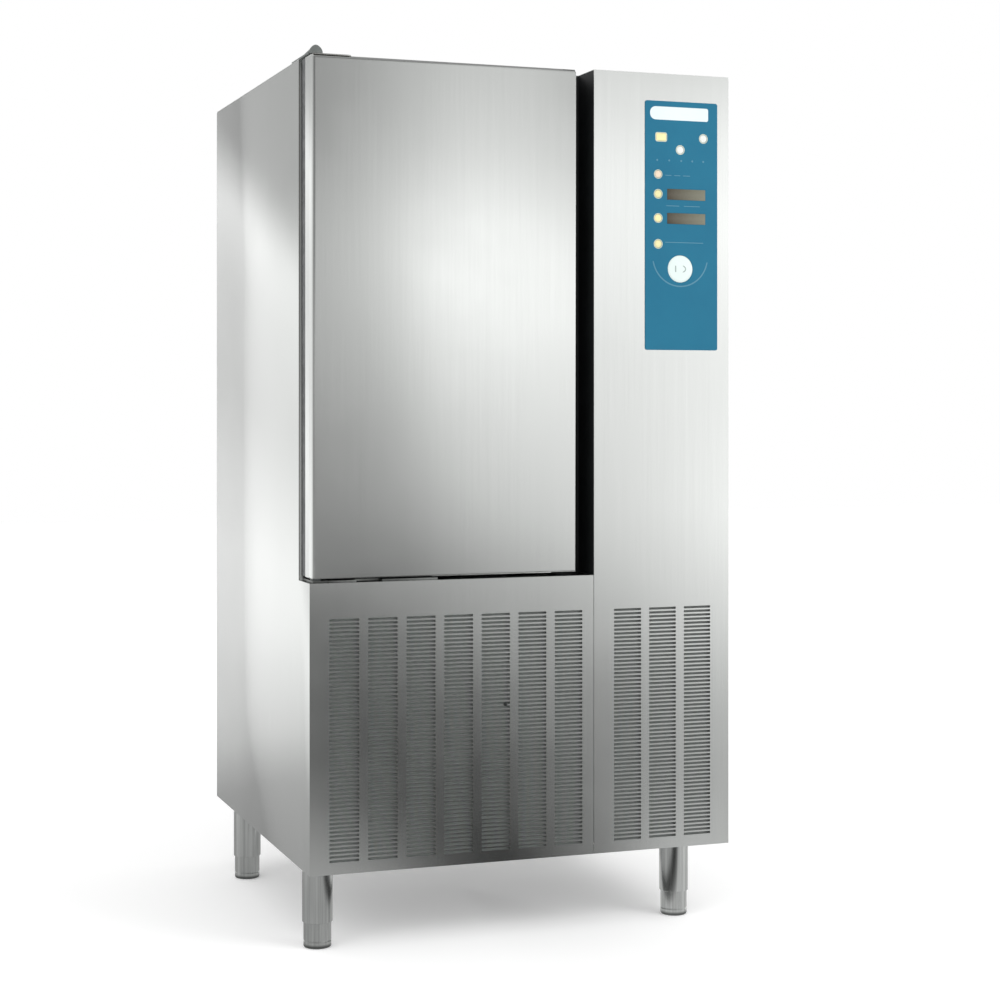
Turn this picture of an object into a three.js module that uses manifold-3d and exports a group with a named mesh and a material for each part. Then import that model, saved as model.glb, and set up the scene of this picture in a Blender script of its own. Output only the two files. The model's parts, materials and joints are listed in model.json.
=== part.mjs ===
// Ten-level blast chiller: insulated cabinet with a side-hung door, a full-height control column
// and a machine compartment underneath, on four screw-adjustable legs.
// Millimetres, +Z up, front towards -Y, origin on the floor under the middle of the body.
import * as THREE from 'three';
import { mergeVertices } from 'three/addons/utils/BufferGeometryUtils.js';
import Module from 'manifold-3d';

const wasm = await Module();
wasm.setup();

// ---------- driving dimensions ----------
const overallWidth = 895;
const overallDepth = 860;        // rear sheet to the tips of the keys
const bodyHeight = 1740;         // floor to the top sheet
const legHeight = 150;
const keyProud = 2;              // keys in front of the steel face
const sheet = 1.2;               // outer steel
const linerSheet = 1;
const gap = 0.3;                 // between pieces that touch

const frontZoneDepth = 85;       // door and column depth ahead of the insulated cabinet
const compartmentHeight = 540;   // machine compartment, from the underside to the cabinet floor
const sideWall = 55;             // insulation, left and right
const frontWall = 58;
const rearWall = 60;
const floorWall = 82;
const ceilingWall = 48;
const columnWidth = 302;         // control column

const doorInset = 5;             // door edge in from the left side
const doorLap = 47.5;            // door over the opening's right edge
const doorBottomGap = 10;        // above the lower front panel
const doorTopGap = 2;            // below the level of the top sheet
const doorThickness = 48;
const doorPadInset = 22;         // inner panel in from the door's edge
const doorPadDepth = 17;
const plugClearance = 7;         // raised plug inside the opening
const plugDepth = 12;
const gasketWidth = 18;
const fingerGap = 40.5;          // between door and column
const gripWidth = 27;
const gripGrooveRadius = 10;
const panelSeam = 1;

const panelRise = 25;            // lower front panel above the cabinet floor
const grilleMarginLeft = 38.5;
const columnGrilleMargin = 43;
const grilleColumnWidth = 62;
const grilleColumnPitch = 78;
const grilleBottom = 23;         // above the underside
const grilleHeadroom = 60;       // least steel above the slots
const grilleEdge = 18;           // least steel beside them
const grillePitch = 41;
const slotHeight = 22;
const rearGrilleColumns = 4;
const rearSlotWidth = 150;
const rearSlotRows = 7;

const fasciaWidth = 163;
const fasciaHeight = 511;
const fasciaRight = 26.4;        // from the right side
const fasciaDrop = 56.5;         // below the top sheet
const fasciaSheet = 1.2;
const keyGap = 0.5;              // around each key
const keyFlange = 2;             // flange wider than its hole
const rowKeyInset = 29;          // keys beside the displays, in from the fascia's edge
const keyTravel = 1;
const startTravel = 2;

const hingeInset = 16.5;         // pivot in from the left side
const hingeSetback = 16;         // pivot behind the door face
const pinRadius = 5;
const pinClearance = 0.3;
const pinLength = 40;
const bushWall = 3.7;
const hingeCapRadius = 13.5;
const hingeCapHeight = 18;

const sleeveRadius = 30;
const footRadius = 27.4;
const footClearance = 0.4;
const footShown = 50;            // foot below its sleeve
const footHeadroom = 12;         // above the foot, inside the sleeve
const legInsetLeft = 30;
const legInsetRight = 100;
const legInsetFront = 55;
const legInsetRear = 185;

const rackPitch = 82;
const rackFirst = 60;            // first runner above the cavity floor
const rackHeadroom = 80;         // above the last runner
const rackFrontSpace = 55;
const rackBackSpace = 40;
const ledgeReach = 47;           // runner in from the side, for a tray 400 wide

const deflectorOffset = 8;       // deflector plate beyond the opening's right edge
const evaporatorFanRadius = 120;
const condenserFanRadius = 150;
const fanTipClearance = 10;
const bladeCount = 5;

// ---------- levels and planes that follow ----------
const left = -overallWidth / 2;
const right = overallWidth / 2;
const rear = overallDepth / 2;
const face = -overallDepth / 2 + keyProud;
const under = legHeight;
const top = bodyHeight;
const inLeft = left + sheet + gap;
const inRight = right - sheet - gap;
const inRear = rear - sheet - gap;
const inFace = face + sheet + gap;
const inTop = top - sheet - gap;
const cabinetFront = face + frontZoneDepth;
const cabinetFloor = under + compartmentHeight;

const panelTop = cabinetFloor + panelRise;
const columnLeft = right - columnWidth;
const lowerRight = columnLeft - panelSeam;

const door = {
  x0: left + doorInset,
  x1: columnLeft - fingerGap,
  y0: face,
  y1: face + doorThickness,
  z0: panelTop + doorBottomGap,
  z1: top - doorTopGap,
};
const opening = {
  x0: left + sideWall,
  x1: door.x1 - doorLap,
  z0: cabinetFloor + floorWall,
  z1: top - ceilingWall,
};
const cavity = {
  x0: opening.x0,
  x1: right - sideWall,
  y0: cabinetFront + frontWall,
  y1: rear - rearWall,
  z0: opening.z0,
  z1: opening.z1,
};
const fascia = {
  x0: right - fasciaRight - fasciaWidth,
  x1: right - fasciaRight,
  z0: top - fasciaDrop - fasciaHeight,
  z1: top - fasciaDrop,
};
const hinge = { x: left + hingeInset, y: face + hingeSetback };
const fasciaMiddle = (fascia.x0 + fascia.x1) / 2;
const rowKeyX = fascia.x0 + rowKeyInset;

// ---------- shape helpers ----------
const solid = (geometry) => {
  const bare = geometry.clone();
  bare.deleteAttribute('normal');
  bare.deleteAttribute('uv');
  const merged = mergeVertices(bare, 1e-4);
  return new wasm.Manifold(new wasm.Mesh({
    numProp: 3,
    vertProperties: new Float32Array(merged.attributes.position.array),
    triVerts: new Uint32Array(merged.index.array),
  }));
};

const geometryOf = (manifold) => {
  const mesh = manifold.getMesh();
  const geometry = new THREE.BufferGeometry();
  geometry.setAttribute('position', new THREE.BufferAttribute(mesh.vertProperties, 3));
  geometry.setIndex(new THREE.BufferAttribute(mesh.triVerts, 1));
  geometry.computeVertexNormals();
  return geometry;
};

const join = (...pieces) => geometryOf(
  pieces.map(solid).reduce((whole, piece) => whole.add(piece)),
);

const cut = (body, ...tools) => geometryOf(
  tools.map(solid).reduce((rest, tool) => rest.subtract(tool), solid(body)),
);

const box = (x0, x1, y0, y1, z0, z1) => {
  const geometry = new THREE.BoxGeometry(x1 - x0, y1 - y0, z1 - z0);
  geometry.translate((x0 + x1) / 2, (y0 + y1) / 2, (z0 + z1) / 2);
  return geometry;
};

const grow = (space, by) => box(
  space.x0 - by, space.x1 + by, space.y0 - by, space.y1 + by, space.z0 - by, space.z1 + by,
);

// A round bar from one end along X, Y or Z.
const bar = (axis, [x, y, z], length, radius, sides = 16, farRadius = radius) => {
  const geometry = new THREE.CylinderGeometry(farRadius, radius, length, sides);
  geometry.translate(0, length / 2, 0);
  if (axis === 'x') geometry.rotateZ(-Math.PI / 2);
  if (axis === 'z') geometry.rotateX(Math.PI / 2);
  geometry.translate(x, y, z);
  return geometry;
};

const polygon = (points) => {
  const outline = new THREE.Shape();
  outline.moveTo(...points[0]);
  points.slice(1).forEach((point) => outline.lineTo(...point));
  outline.closePath();
  return outline;
};
const rectangle = (u0, u1, v0, v1) => polygon([[u0, v0], [u1, v0], [u1, v1], [u0, v1]]);
const disc = (u, v, radius) => new THREE.Shape().absarc(u, v, radius, 0, 2 * Math.PI);

// An outline drawn in (y, z), (x, z) or (x, y), given a length along x, y or z.
const prism = (axis, start, length, outline, sides = 8) => {
  const geometry = new THREE.ExtrudeGeometry(outline, {
    depth: length, bevelEnabled: false, curveSegments: sides,
  });
  const [ex, ey, ez] = [new THREE.Vector3(1, 0, 0), new THREE.Vector3(0, 1, 0), new THREE.Vector3(0, 0, 1)];
  const basis = new THREE.Matrix4();
  if (axis === 'x') basis.makeBasis(ey, ez, ex).setPosition(start, 0, 0);
  if (axis === 'y') basis.makeBasis(ex, ez, ey.clone().negate()).setPosition(0, start + length, 0);
  if (axis === 'z') basis.setPosition(0, 0, start);
  return geometry.applyMatrix4(basis);
};

// A flat sheet square to one axis, with holes right through.
const slab = (axis, start, thickness, outline, holes = [], sides = 8) => cut(
  prism(axis, start, thickness, outline),
  ...holes.map((hole) => prism(axis, start - 1, thickness + 2, hole, sides)),
);

const inOrder = (a, b) => [Math.min(a, b), Math.max(a, b)];

// How many pieces of one size, a pitch apart, fit in a span.
const fitting = (span, size, pitch) => Math.floor((span - size) / pitch) + 1;

const grilleSlots = (firstX, lastX) => {
  const slots = [];
  const columns = fitting(lastX - grilleEdge - firstX, grilleColumnWidth, grilleColumnPitch);
  const rows = fitting(panelTop - under - grilleBottom - grilleHeadroom, slotHeight, grillePitch);
  for (let column = 0; column < columns; column += 1) {
    const x0 = firstX + column * grilleColumnPitch;
    for (let row = 0; row < rows; row += 1) {
      const z0 = under + grilleBottom + row * grillePitch;
      slots.push(rectangle(x0, x0 + grilleColumnWidth, z0, z0 + slotHeight));
    }
  }
  return slots;
};

// A tube of straight runs joined by bends.
const tube = (points, radius, bend, steps) => {
  const corners = points.map((point) => new THREE.Vector3(...point));
  const route = new THREE.CurvePath();
  let from = corners[0];
  for (let i = 1; i < corners.length - 1; i += 1) {
    const before = corners[i].clone().lerp(corners[i - 1], bend / corners[i].distanceTo(corners[i - 1]));
    const after = corners[i].clone().lerp(corners[i + 1], bend / corners[i].distanceTo(corners[i + 1]));
    route.add(new THREE.LineCurve3(from, before));
    route.add(new THREE.QuadraticBezierCurve3(before, corners[i], after));
    from = after;
  }
  route.add(new THREE.LineCurve3(from, corners[corners.length - 1]));
  const section = new THREE.Shape().absarc(0, 0, radius, 0, 2 * Math.PI);
  return new THREE.ExtrudeGeometry(section, { steps, extrudePath: route, curveSegments: 4 });
};

const object = new THREE.Group();
const add = (name, geometry, color, roughness, metalness, parent = object) => {
  const mesh = new THREE.Mesh(
    geometry,
    new THREE.MeshStandardMaterial({ color, roughness, metalness }),
  );
  mesh.name = name;
  parent.add(mesh);
  return mesh;
};
const steel = [0xc3c7c3, 0.36, 1];
const zinc = [0xa9adab, 0.5, 1];
const darkSteel = [0x4a4f4e, 0.5, 0.9];
const blackPlastic = [0x0e1112, 0.45, 0];
const greyPlastic = [0x3b4040, 0.5, 0];
const foamColour = [0xd9cf9c, 0.9, 0];
const copper = [0xb5764a, 0.35, 1];
const aluminium = [0xb9bdbe, 0.4, 1];
const motorBlack = [0x1c1f20, 0.55, 0.3];

// ---------- cabinet shell ----------
const leftOutline = polygon([
  [inFace, under], [inRear, under], [inRear, inTop], [cabinetFront, inTop],
  [cabinetFront, panelTop], [inFace, panelTop],
]);
add('left_side_panel', slab('x', left, sheet, leftOutline), ...steel);
add('right_side_panel', box(right - sheet, right, inFace, inRear, under, inTop), ...steel);

const topOutline = polygon([
  [left, cabinetFront], [columnLeft, cabinetFront], [columnLeft, inFace],
  [right, inFace], [right, rear], [left, rear],
]);
add('top_panel', slab('z', top - sheet, sheet, topOutline), ...steel);
add('rear_panel', box(left, right, rear - sheet, rear, cabinetFloor, inTop), ...zinc);

const rearSlots = [];
const rearSlotPitch = compartmentHeight / (rearSlotRows + 2);
const rearColumnPitch = overallWidth / rearGrilleColumns;
for (let column = 0; column < rearGrilleColumns; column += 1) {
  const x0 = left + column * rearColumnPitch + (rearColumnPitch - rearSlotWidth) / 2;
  for (let row = 1; row <= rearSlotRows; row += 1) {
    const z0 = under + row * rearSlotPitch;
    rearSlots.push(rectangle(x0, x0 + rearSlotWidth, z0, z0 + slotHeight));
  }
}
const rearOutline = rectangle(left, right, under, cabinetFloor - gap);
add('rear_grille', slab('y', rear - sheet, sheet, rearOutline, rearSlots), ...zinc);

// ---------- base frame, deck and legs ----------
const frameSheet = 2;
const frameHeight = 40;
const frameFlange = 62;
const postWidth = 30;
const deckFront = cabinetFront + sheet + gap;
const deckUnder = cabinetFloor - sheet;
const legs = {
  front_left: [left + legInsetLeft, face + legInsetFront],
  front_right: [right - legInsetRight, face + legInsetFront],
  rear_left: [left + legInsetLeft, rear - legInsetRear],
  rear_right: [right - legInsetRight, rear - legInsetRear],
};
const compressorAt = [left + 257.5, rear - 320];
const crossRailWidth = 70;
const padThickness = 6;

const angle = (x, y, towardsX, towardsY) => {
  const [x0, x1] = inOrder(x, x + towardsX * postWidth);
  const [y0, y1] = inOrder(y, y + towardsY * postWidth);
  const [tx0, tx1] = inOrder(x, x + towardsX * frameSheet);
  const [ty0, ty1] = inOrder(y, y + towardsY * frameSheet);
  const ceiling = deckUnder - gap;
  return [box(x0, x1, ty0, ty1, under, ceiling), box(tx0, tx1, y0, y1, under, ceiling)];
};
const crossRail = (y) => box(
  inLeft, inRight, y - crossRailWidth / 2, y + crossRailWidth / 2, under, under + frameSheet,
);
const legPads = Object.values(legs).map(([x, y]) => box(
  Math.max(x - sleeveRadius, inLeft), x + sleeveRadius, y - sleeveRadius, y + sleeveRadius,
  under, under + padThickness,
));
const ring = cut(
  box(inLeft, inRight, inFace, inRear, under, under + frameHeight),
  box(
    inLeft + frameSheet, inRight - frameSheet, inFace + frameSheet, inRear - frameSheet,
    under + frameSheet, under + frameHeight + 1,
  ),
  box(
    inLeft + frameFlange, inRight - frameFlange, inFace + frameFlange, inRear - frameFlange,
    under - 1, under + frameHeight,
  ),
);
const glandAt = [right - 32, rear - 40];
const glandRadius = 10;
const glandBore = 6;
const glandNut = 22;
const glandLock = 6;
const glandHole = bar('z', [...glandAt, under - 1], frameSheet + 2, glandRadius + gap);
add('base_frame', cut(join(
  ring,
  crossRail(compressorAt[1]), crossRail(legs.rear_left[1]),
  ...legPads,
  ...angle(inLeft, deckFront, 1, 1), ...angle(inRight, deckFront, -1, 1),
  ...angle(inLeft, inRear, 1, -1), ...angle(inRight, inRear, -1, -1),
), glandHole), ...zinc);

const suctionAt = [cavity.x1 - 142.5, compressorAt[1]];
const liquidAt = [cavity.x1 - 92.5, rear - 210];
const suctionRadius = 11;
const liquidRadius = 6;
const pipeHole = ([x, y], radius, z0, z1) => bar('z', [x, y, z0 - 1], z1 - z0 + 2, radius + gap + 1);
const floorHoles = (z0, z1) => [
  pipeHole(suctionAt, suctionRadius, z0, z1),
  pipeHole(liquidAt, liquidRadius, z0, z1),
];
add('machine_deck', cut(
  box(inLeft, inRight, deckFront, inRear, deckUnder, cabinetFloor),
  ...floorHoles(deckUnder, cabinetFloor),
), ...zinc);

const sleeveTop = under - gap;
const sleeveBottom = footShown;
const sleeveCap = 8;
const footTop = sleeveTop - sleeveCap - footHeadroom;
const legSides = 20;
for (const [place, [x, y]] of Object.entries(legs)) {
  const sleeve = cut(
    bar('z', [0, 0, sleeveBottom], sleeveTop - sleeveBottom, sleeveRadius, legSides),
    bar(
      'z', [0, 0, sleeveBottom - 1], sleeveTop - sleeveBottom - sleeveCap + 1,
      footRadius + footClearance, legSides,
    ),
  );
  const profile = [
    [0, 0], [footRadius - 7, 0], [footRadius - 1, 6],
    [footRadius, 11], [footRadius, footTop], [0, footTop],
  ].map((point) => new THREE.Vector2(...point));
  const foot = new THREE.LatheGeometry(profile, legSides).rotateX(Math.PI / 2);
  const leg = new THREE.Group();
  leg.position.set(x, y, 0);
  object.add(leg);
  add(`leg_sleeve_${place}`, sleeve, ...steel, leg);
  add(`leg_foot_${place}`, foot, ...aluminium, leg);
}

const glandBody = join(
  bar('z', [...glandAt, under - glandNut], glandNut - gap, glandRadius + 5, 6),
  bar('z', [...glandAt, under - 2], glandNut - 2, glandRadius, 16),
  bar('z', [...glandAt, under + frameSheet + gap], glandLock, glandRadius + 4, 6),
);
add('cord_gland', cut(
  glandBody,
  bar('z', [...glandAt, under - 2 * glandNut], 4 * glandNut, glandBore, 12),
), ...blackPlastic);

// ---------- insulated cabinet ----------
const foamFront = cabinetFront + sheet + gap;
const foamFloor = cabinetFloor + gap;
const tunnel = {
  ...opening, y0: cabinetFront + sheet, y1: cavity.y0 + linerSheet,
};
const linerOuter = join(grow(cavity, linerSheet), grow(tunnel, linerSheet));
const linerInner = join(
  box(cavity.x0, cavity.x1, cavity.y0, cavity.y1, cavity.z0, cavity.z1),
  box(opening.x0, opening.x1, foamFront - 50, cavity.y0 + 1, opening.z0, opening.z1),
);
const linerCut = box(left, right, face, cabinetFront + sheet + gap, 0, top);
add('cavity_liner', cut(
  linerOuter, linerInner, linerCut,
  ...floorHoles(cavity.z0 - linerSheet, cavity.z0),
), ...steel);
add('cabinet_foam', cut(
  box(inLeft, inRight, foamFront, inRear, foamFloor, inTop - gap),
  grow(cavity, linerSheet + gap),
  grow({ ...tunnel, y0: foamFront - 50 }, linerSheet + gap),
  ...floorHoles(foamFloor, cavity.z0),
), ...foamColour);
add('door_frame', join(
  slab(
    'y', cabinetFront, sheet,
    rectangle(inLeft, inRight, cabinetFloor + gap, inTop),
    [rectangle(opening.x0, opening.x1, opening.z0, opening.z1)],
  ),
  box(inLeft, lowerRight, inFace, cabinetFront + sheet, panelTop - sheet, panelTop),
), ...steel);

// ---------- front panels ----------
add('lower_front_panel', slab(
  'y', face, sheet,
  rectangle(left, lowerRight, under, panelTop),
  grilleSlots(left + grilleMarginLeft, lowerRight),
), ...steel);

const keys = [
  { name: 'chill_key', x: fascia.x0 + 35.8, z: fascia.z1 - 74, width: 22.5, height: 15.5, color: 0xf6ecb4 },
  { name: 'light_key', x: fascia.x1 - 32, z: fascia.z1 - 74, radius: 8, color: 0xf4f1e4 },
  { name: 'freeze_key', x: fasciaMiddle - 2.9, z: fascia.z1 - 99, radius: 8, color: 0xf2f3f5 },
  { name: 'probe_key', x: rowKeyX, z: fascia.z1 - 150.5, radius: 7.5, color: 0xf1dfc4 },
  { name: 'temperature_key', x: rowKeyX, z: fascia.z1 - 191, radius: 8, color: 0xf1e9bc },
  { name: 'time_key', x: rowKeyX, z: fascia.z1 - 240.5, radius: 8, color: 0xf6e9bc },
  { name: 'defrost_key', x: rowKeyX, z: fascia.z1 - 293.5, radius: 8, color: 0xf1ecbe },
  { name: 'start_stop_key', x: fasciaMiddle - 2.9, z: fascia.z1 - 344, radius: 28, color: 0xe2f2f2 },
];
const displays = [191, 240.5].map((drop) => ({
  x0: fascia.x0 + 49.3, x1: fascia.x0 + 135.4, z0: fascia.z1 - drop - 11, z1: fascia.z1 - drop + 11,
}));
const keyHole = (key, extra) => (key.radius
  ? disc(key.x, key.z, key.radius + extra)
  : rectangle(
    key.x - key.width / 2 - extra, key.x + key.width / 2 + extra,
    key.z - key.height / 2 - extra, key.z + key.height / 2 + extra,
  ));
const controlHoles = () => [
  ...keys.map((key) => keyHole(key, keyGap)),
  ...displays.map((d) => rectangle(d.x0 - keyGap, d.x1 + keyGap, d.z0 - keyGap, d.z1 + keyGap)),
];
add('column_front_panel', slab(
  'y', face, sheet,
  rectangle(columnLeft, right, under, top),
  [...grilleSlots(columnLeft + columnGrilleMargin, right), ...controlHoles()],
), ...steel);
const fasciaFront = face - gap - fasciaSheet;
add('control_fascia', slab(
  'y', fasciaFront, fasciaSheet,
  rectangle(fascia.x0, fascia.x1, fascia.z0, fascia.z1), controlHoles(),
), 0x2f7796, 0.35, 0);

const trimSheet = 1.5;
const trimFootWidth = 60;
add('column_trim', join(
  box(columnLeft, columnLeft + trimSheet, inFace, cabinetFront - gap, panelTop + gap, inTop),
  box(
    columnLeft - trimFootWidth, columnLeft + trimSheet,
    cabinetFront - gap - trimSheet, cabinetFront - gap, panelTop + gap, inTop,
  ),
), ...blackPlastic);

// ---------- controls ----------
const keyTip = face - keyProud;
const behindPanel = inFace;
const keyFlangeSheet = 1.2;
const boardFront = behindPanel + 16;
const boardSheet = 1.6;
const switchHeight = 1.4;
const stemGap = 0.2;
for (const key of keys) {
  const travel = key.name === 'start_stop_key' ? startTravel : keyTravel;
  const stemLength = boardFront - switchHeight - stemGap - travel - behindPanel;
  const capLength = behindPanel - keyTip;
  const sides = key.radius > 20 ? 32 : 16;
  const cap = key.radius
    ? bar('y', [key.x, keyTip, key.z], capLength, key.radius - 0.8, sides, key.radius)
    : box(
      key.x - key.width / 2, key.x + key.width / 2, keyTip, behindPanel,
      key.z - key.height / 2, key.z + key.height / 2,
    );
  const flange = key.radius
    ? bar('y', [key.x, behindPanel, key.z], keyFlangeSheet, key.radius + keyFlange, sides)
    : box(
      key.x - key.width / 2 - keyFlange, key.x + key.width / 2 + keyFlange,
      behindPanel, behindPanel + keyFlangeSheet,
      key.z - key.height / 2 - keyFlange, key.z + key.height / 2 + keyFlange,
    );
  const stem = bar('y', [key.x, behindPanel, key.z], stemLength, key.radius > 20 ? 9 : 3.5, 8);
  add(key.name, join(cap, flange, stem), key.color, 0.4, 0);
}

const lensSheet = 1.5;
const lensEdge = 4;
add('display_lens', join(
  box(
    displays[0].x0 - lensEdge, displays[0].x1 + lensEdge, behindPanel, behindPanel + lensSheet,
    displays[1].z0 - lensEdge, displays[0].z1 + lensEdge,
  ),
  ...displays.map((d) => box(d.x0, d.x1, fasciaFront, behindPanel + 0.5, d.z0, d.z1)),
), 0x3b3c38, 0.15, 0);

const boardEdge = 12;
const board = {
  x0: fascia.x0 + boardEdge, x1: fascia.x1 - boardEdge, z0: fascia.z0 + 120, z1: fascia.z1 - 55,
};
const spacers = [
  [board.x0 + 5, board.z0 + 5], [board.x1 - 5, board.z0 + 5],
  [board.x0 + 5, board.z1 - 5], [board.x1 - 5, board.z1 - 5],
].map(([x, z]) => bar('y', [x, behindPanel, z], boardFront - behindPanel + 0.5, 3, 8));
const switches = keys.map((key) => box(
  key.x - 4, key.x + 4, boardFront - switchHeight, boardFront + 0.5, key.z - 4, key.z + 4,
));
add('control_board', join(
  box(board.x0, board.x1, boardFront, boardFront + boardSheet, board.z0, board.z1),
  ...spacers, ...switches,
  box(board.x0 + 20, board.x0 + 70, boardFront + 1, boardFront + 20, board.z0 + 60, board.z0 + 110),
  box(board.x0 + 85, board.x0 + 120, boardFront + 1, boardFront + 14, board.z0 + 60, board.z0 + 150),
), 0x1d5a3a, 0.5, 0);

// ---------- door ----------
const grip = {
  x0: door.x1 - gripWidth, x1: door.x1 - gap, y0: face + sheet + gap, y1: door.y1 - gap,
  z0: door.z0 + sheet + gap, z1: door.z1 - sheet - gap,
};
const skinReturn = 12;
const bushRadius = pinRadius + pinClearance + bushWall;
const bushFlange = bushRadius + 2;
const bushHoleTop = bar('z', [hinge.x, hinge.y, door.z1 - pinLength - 8], pinLength + 20, bushRadius + gap);
const bushHoleBottom = bar('z', [hinge.x, hinge.y, door.z0 - 12], pinLength + 20, bushRadius + gap);
const doorInner = {
  x0: door.x0 + sheet, x1: door.x1 - sheet, y0: face + sheet, y1: door.y1 + 1,
  z0: door.z0 + sheet, z1: door.z1 - sheet,
};
add('door_skin', cut(
  box(door.x0, door.x1, door.y0, door.y1, door.z0, door.z1),
  box(doorInner.x0, doorInner.x1, doorInner.y0, doorInner.y1, doorInner.z0, doorInner.z1),
  box(door.x1 - sheet - 1, door.x1 + 1, face + skinReturn, door.y1 + 1, doorInner.z0, doorInner.z1),
  bushHoleTop, bushHoleBottom,
), ...steel);

const gripOutline = polygon([
  [grip.x0, grip.y0], [door.x1 - sheet - gap, grip.y0],
  [door.x1 - sheet - gap, face + skinReturn + gap], [grip.x1, face + skinReturn + gap],
  [grip.x1, grip.y1], [grip.x0, grip.y1],
]);
const grooveY = face + skinReturn + 6 + gripGrooveRadius;
const groove = join(
  bar('z', [grip.x1 - gripGrooveRadius - 4, grooveY, grip.z0 - 1], grip.z1 - grip.z0 + 2, gripGrooveRadius),
  box(
    grip.x1 - gripGrooveRadius - 4, grip.x1 + 1, grooveY - gripGrooveRadius, grooveY + gripGrooveRadius,
    grip.z0 - 1, grip.z1 + 1,
  ),
);
add('door_grip', cut(
  slab('z', grip.z0, grip.z1 - grip.z0, gripOutline), groove,
), ...blackPlastic);

const padBack = door.y1 + gap + doorPadDepth;
const pad = {
  x0: door.x0 + doorPadInset, x1: door.x1 - doorPadInset,
  z0: door.z0 + doorPadInset, z1: door.z1 - doorPadInset,
};
const plug = {
  x0: opening.x0 + plugClearance, x1: opening.x1 - plugClearance,
  z0: opening.z0 + plugClearance, z1: opening.z1 - plugClearance,
};
const panelBase = door.y1 + gap;
const padBox = (inset, y0, y1) => box(
  pad.x0 + inset, pad.x1 - inset, y0, y1, pad.z0 + inset, pad.z1 - inset,
);
const plugBox = (inset, y0, y1) => box(
  plug.x0 + inset, plug.x1 - inset, y0, y1, plug.z0 + inset, plug.z1 - inset,
);
add('door_inner_panel', cut(
  join(
    box(door.x0 + gap, door.x1 - gap, panelBase, panelBase + linerSheet, door.z0 + gap, door.z1 - gap),
    padBox(0, panelBase, padBack),
    plugBox(0, padBack - 1, padBack + plugDepth),
  ),
  padBox(linerSheet, panelBase - 1, padBack - linerSheet),
  plugBox(linerSheet, panelBase, padBack + plugDepth - linerSheet),
), ...steel);
const foamInset = linerSheet + gap;
add('door_foam', cut(
  join(
    box(
      doorInner.x0 + gap, grip.x0 - gap, doorInner.y0 + gap, door.y1,
      doorInner.z0 + gap, doorInner.z1 - gap,
    ),
    padBox(foamInset, door.y1 - 1, padBack - foamInset),
    plugBox(foamInset, padBack - foamInset - 1, padBack + plugDepth - foamInset),
  ),
  box(grip.x0 - gap, grip.x1 + gap, grip.y0 - gap, grip.y1 + gap, grip.z0 - gap, grip.z1 + gap),
  bushHoleTop, bushHoleBottom,
), ...foamColour);

const gasket = {
  x0: pad.x0 + 2, x1: pad.x1 - 2, z0: pad.z0 + 2, z1: pad.z1 - 2,
};
add('door_gasket', slab(
  'y', padBack + gap, cabinetFront - padBack - 2 * gap,
  rectangle(gasket.x0, gasket.x1, gasket.z0, gasket.z1),
  [rectangle(
    gasket.x0 + gasketWidth, gasket.x1 - gasketWidth, gasket.z0 + gasketWidth, gasket.z1 - gasketWidth,
  )],
), 0x565b5c, 0.7, 0);

// ---------- hinges ----------
const bracketSheet = 3.5;
const upperPlateUnder = top + gap;
const capTop = top + hingeCapHeight;
const upperPlateInset = 1.5;
const upperPlateBack = cabinetFront + 70;
const upperPinTop = capTop - 5;
add('upper_hinge_bracket', cut(
  join(
    box(
      left + upperPlateInset, hinge.x + hingeCapRadius, hinge.y, upperPlateBack,
      upperPlateUnder, upperPlateUnder + bracketSheet,
    ),
    bar('z', [hinge.x, hinge.y, upperPlateUnder], capTop - upperPlateUnder - 4, hingeCapRadius),
    bar('z', [hinge.x, hinge.y, capTop - 4.5], 4.5, hingeCapRadius, 16, hingeCapRadius - 4),
  ),
  bar('z', [hinge.x, hinge.y, top - 1], upperPinTop + gap - top + 1, pinRadius + pinClearance),
), ...darkSteel);
add('upper_hinge_pin', bar(
  'z', [hinge.x, hinge.y, door.z1 - pinLength], upperPinTop - door.z1 + pinLength, pinRadius,
), ...zinc);
const bushBore = (z0, z1) => bar('z', [hinge.x, hinge.y, z0], z1 - z0, pinRadius + pinClearance);
const upperBushBottom = door.z1 - pinLength - 3;
add('upper_hinge_bush', cut(
  join(
    bar('z', [hinge.x, hinge.y, upperBushBottom], door.z1 - upperBushBottom + 1, bushRadius),
    bar('z', [hinge.x, hinge.y, door.z1 + gap], top - door.z1 - gap, bushFlange),
  ),
  bushBore(upperBushBottom + 2, top + 1),
), ...greyPlastic);

// The lower plate as seen under the door: an arm at the pivot, a notch and a longer tongue.
const lowerPlateUnder = panelTop + gap;
const lowerPlateTop = lowerPlateUnder + 4;
const armFront = face + 4;
const tongueFront = face + 7;
const notchDepth = 30;
const [plateStart, armStart, armEnd, tongueStart, tongueEnd] = [8, 39, 95, 148, 262].map((x) => left + x);
const flangeEnd = left + 110;
const lowerPlate = polygon([
  [plateStart, cabinetFront - gap], [plateStart, hinge.y - bushRadius], [armStart, hinge.y - bushRadius],
  [armStart, armFront], [armEnd, armFront], [armEnd, face + notchDepth],
  [tongueStart, face + notchDepth], [tongueStart, tongueFront], [tongueEnd, tongueFront],
  [tongueEnd, cabinetFront - 12], [flangeEnd, cabinetFront - gap],
]);
const lowerFlangeHeight = 26;
add('lower_hinge_bracket', cut(
  join(
    slab('z', lowerPlateUnder, lowerPlateTop - lowerPlateUnder, lowerPlate),
    box(
      plateStart, flangeEnd, cabinetFront - gap - bracketSheet, cabinetFront - gap,
      lowerPlateUnder, lowerPlateUnder + lowerFlangeHeight,
    ),
  ),
  bar('z', [hinge.x, hinge.y, panelTop], 10, pinRadius + pinClearance),
), ...zinc);
add('lower_hinge_pin', bar(
  'z', [hinge.x, hinge.y, lowerPlateUnder + gap], door.z0 + pinLength - lowerPlateUnder - gap, pinRadius,
), ...zinc);
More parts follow.
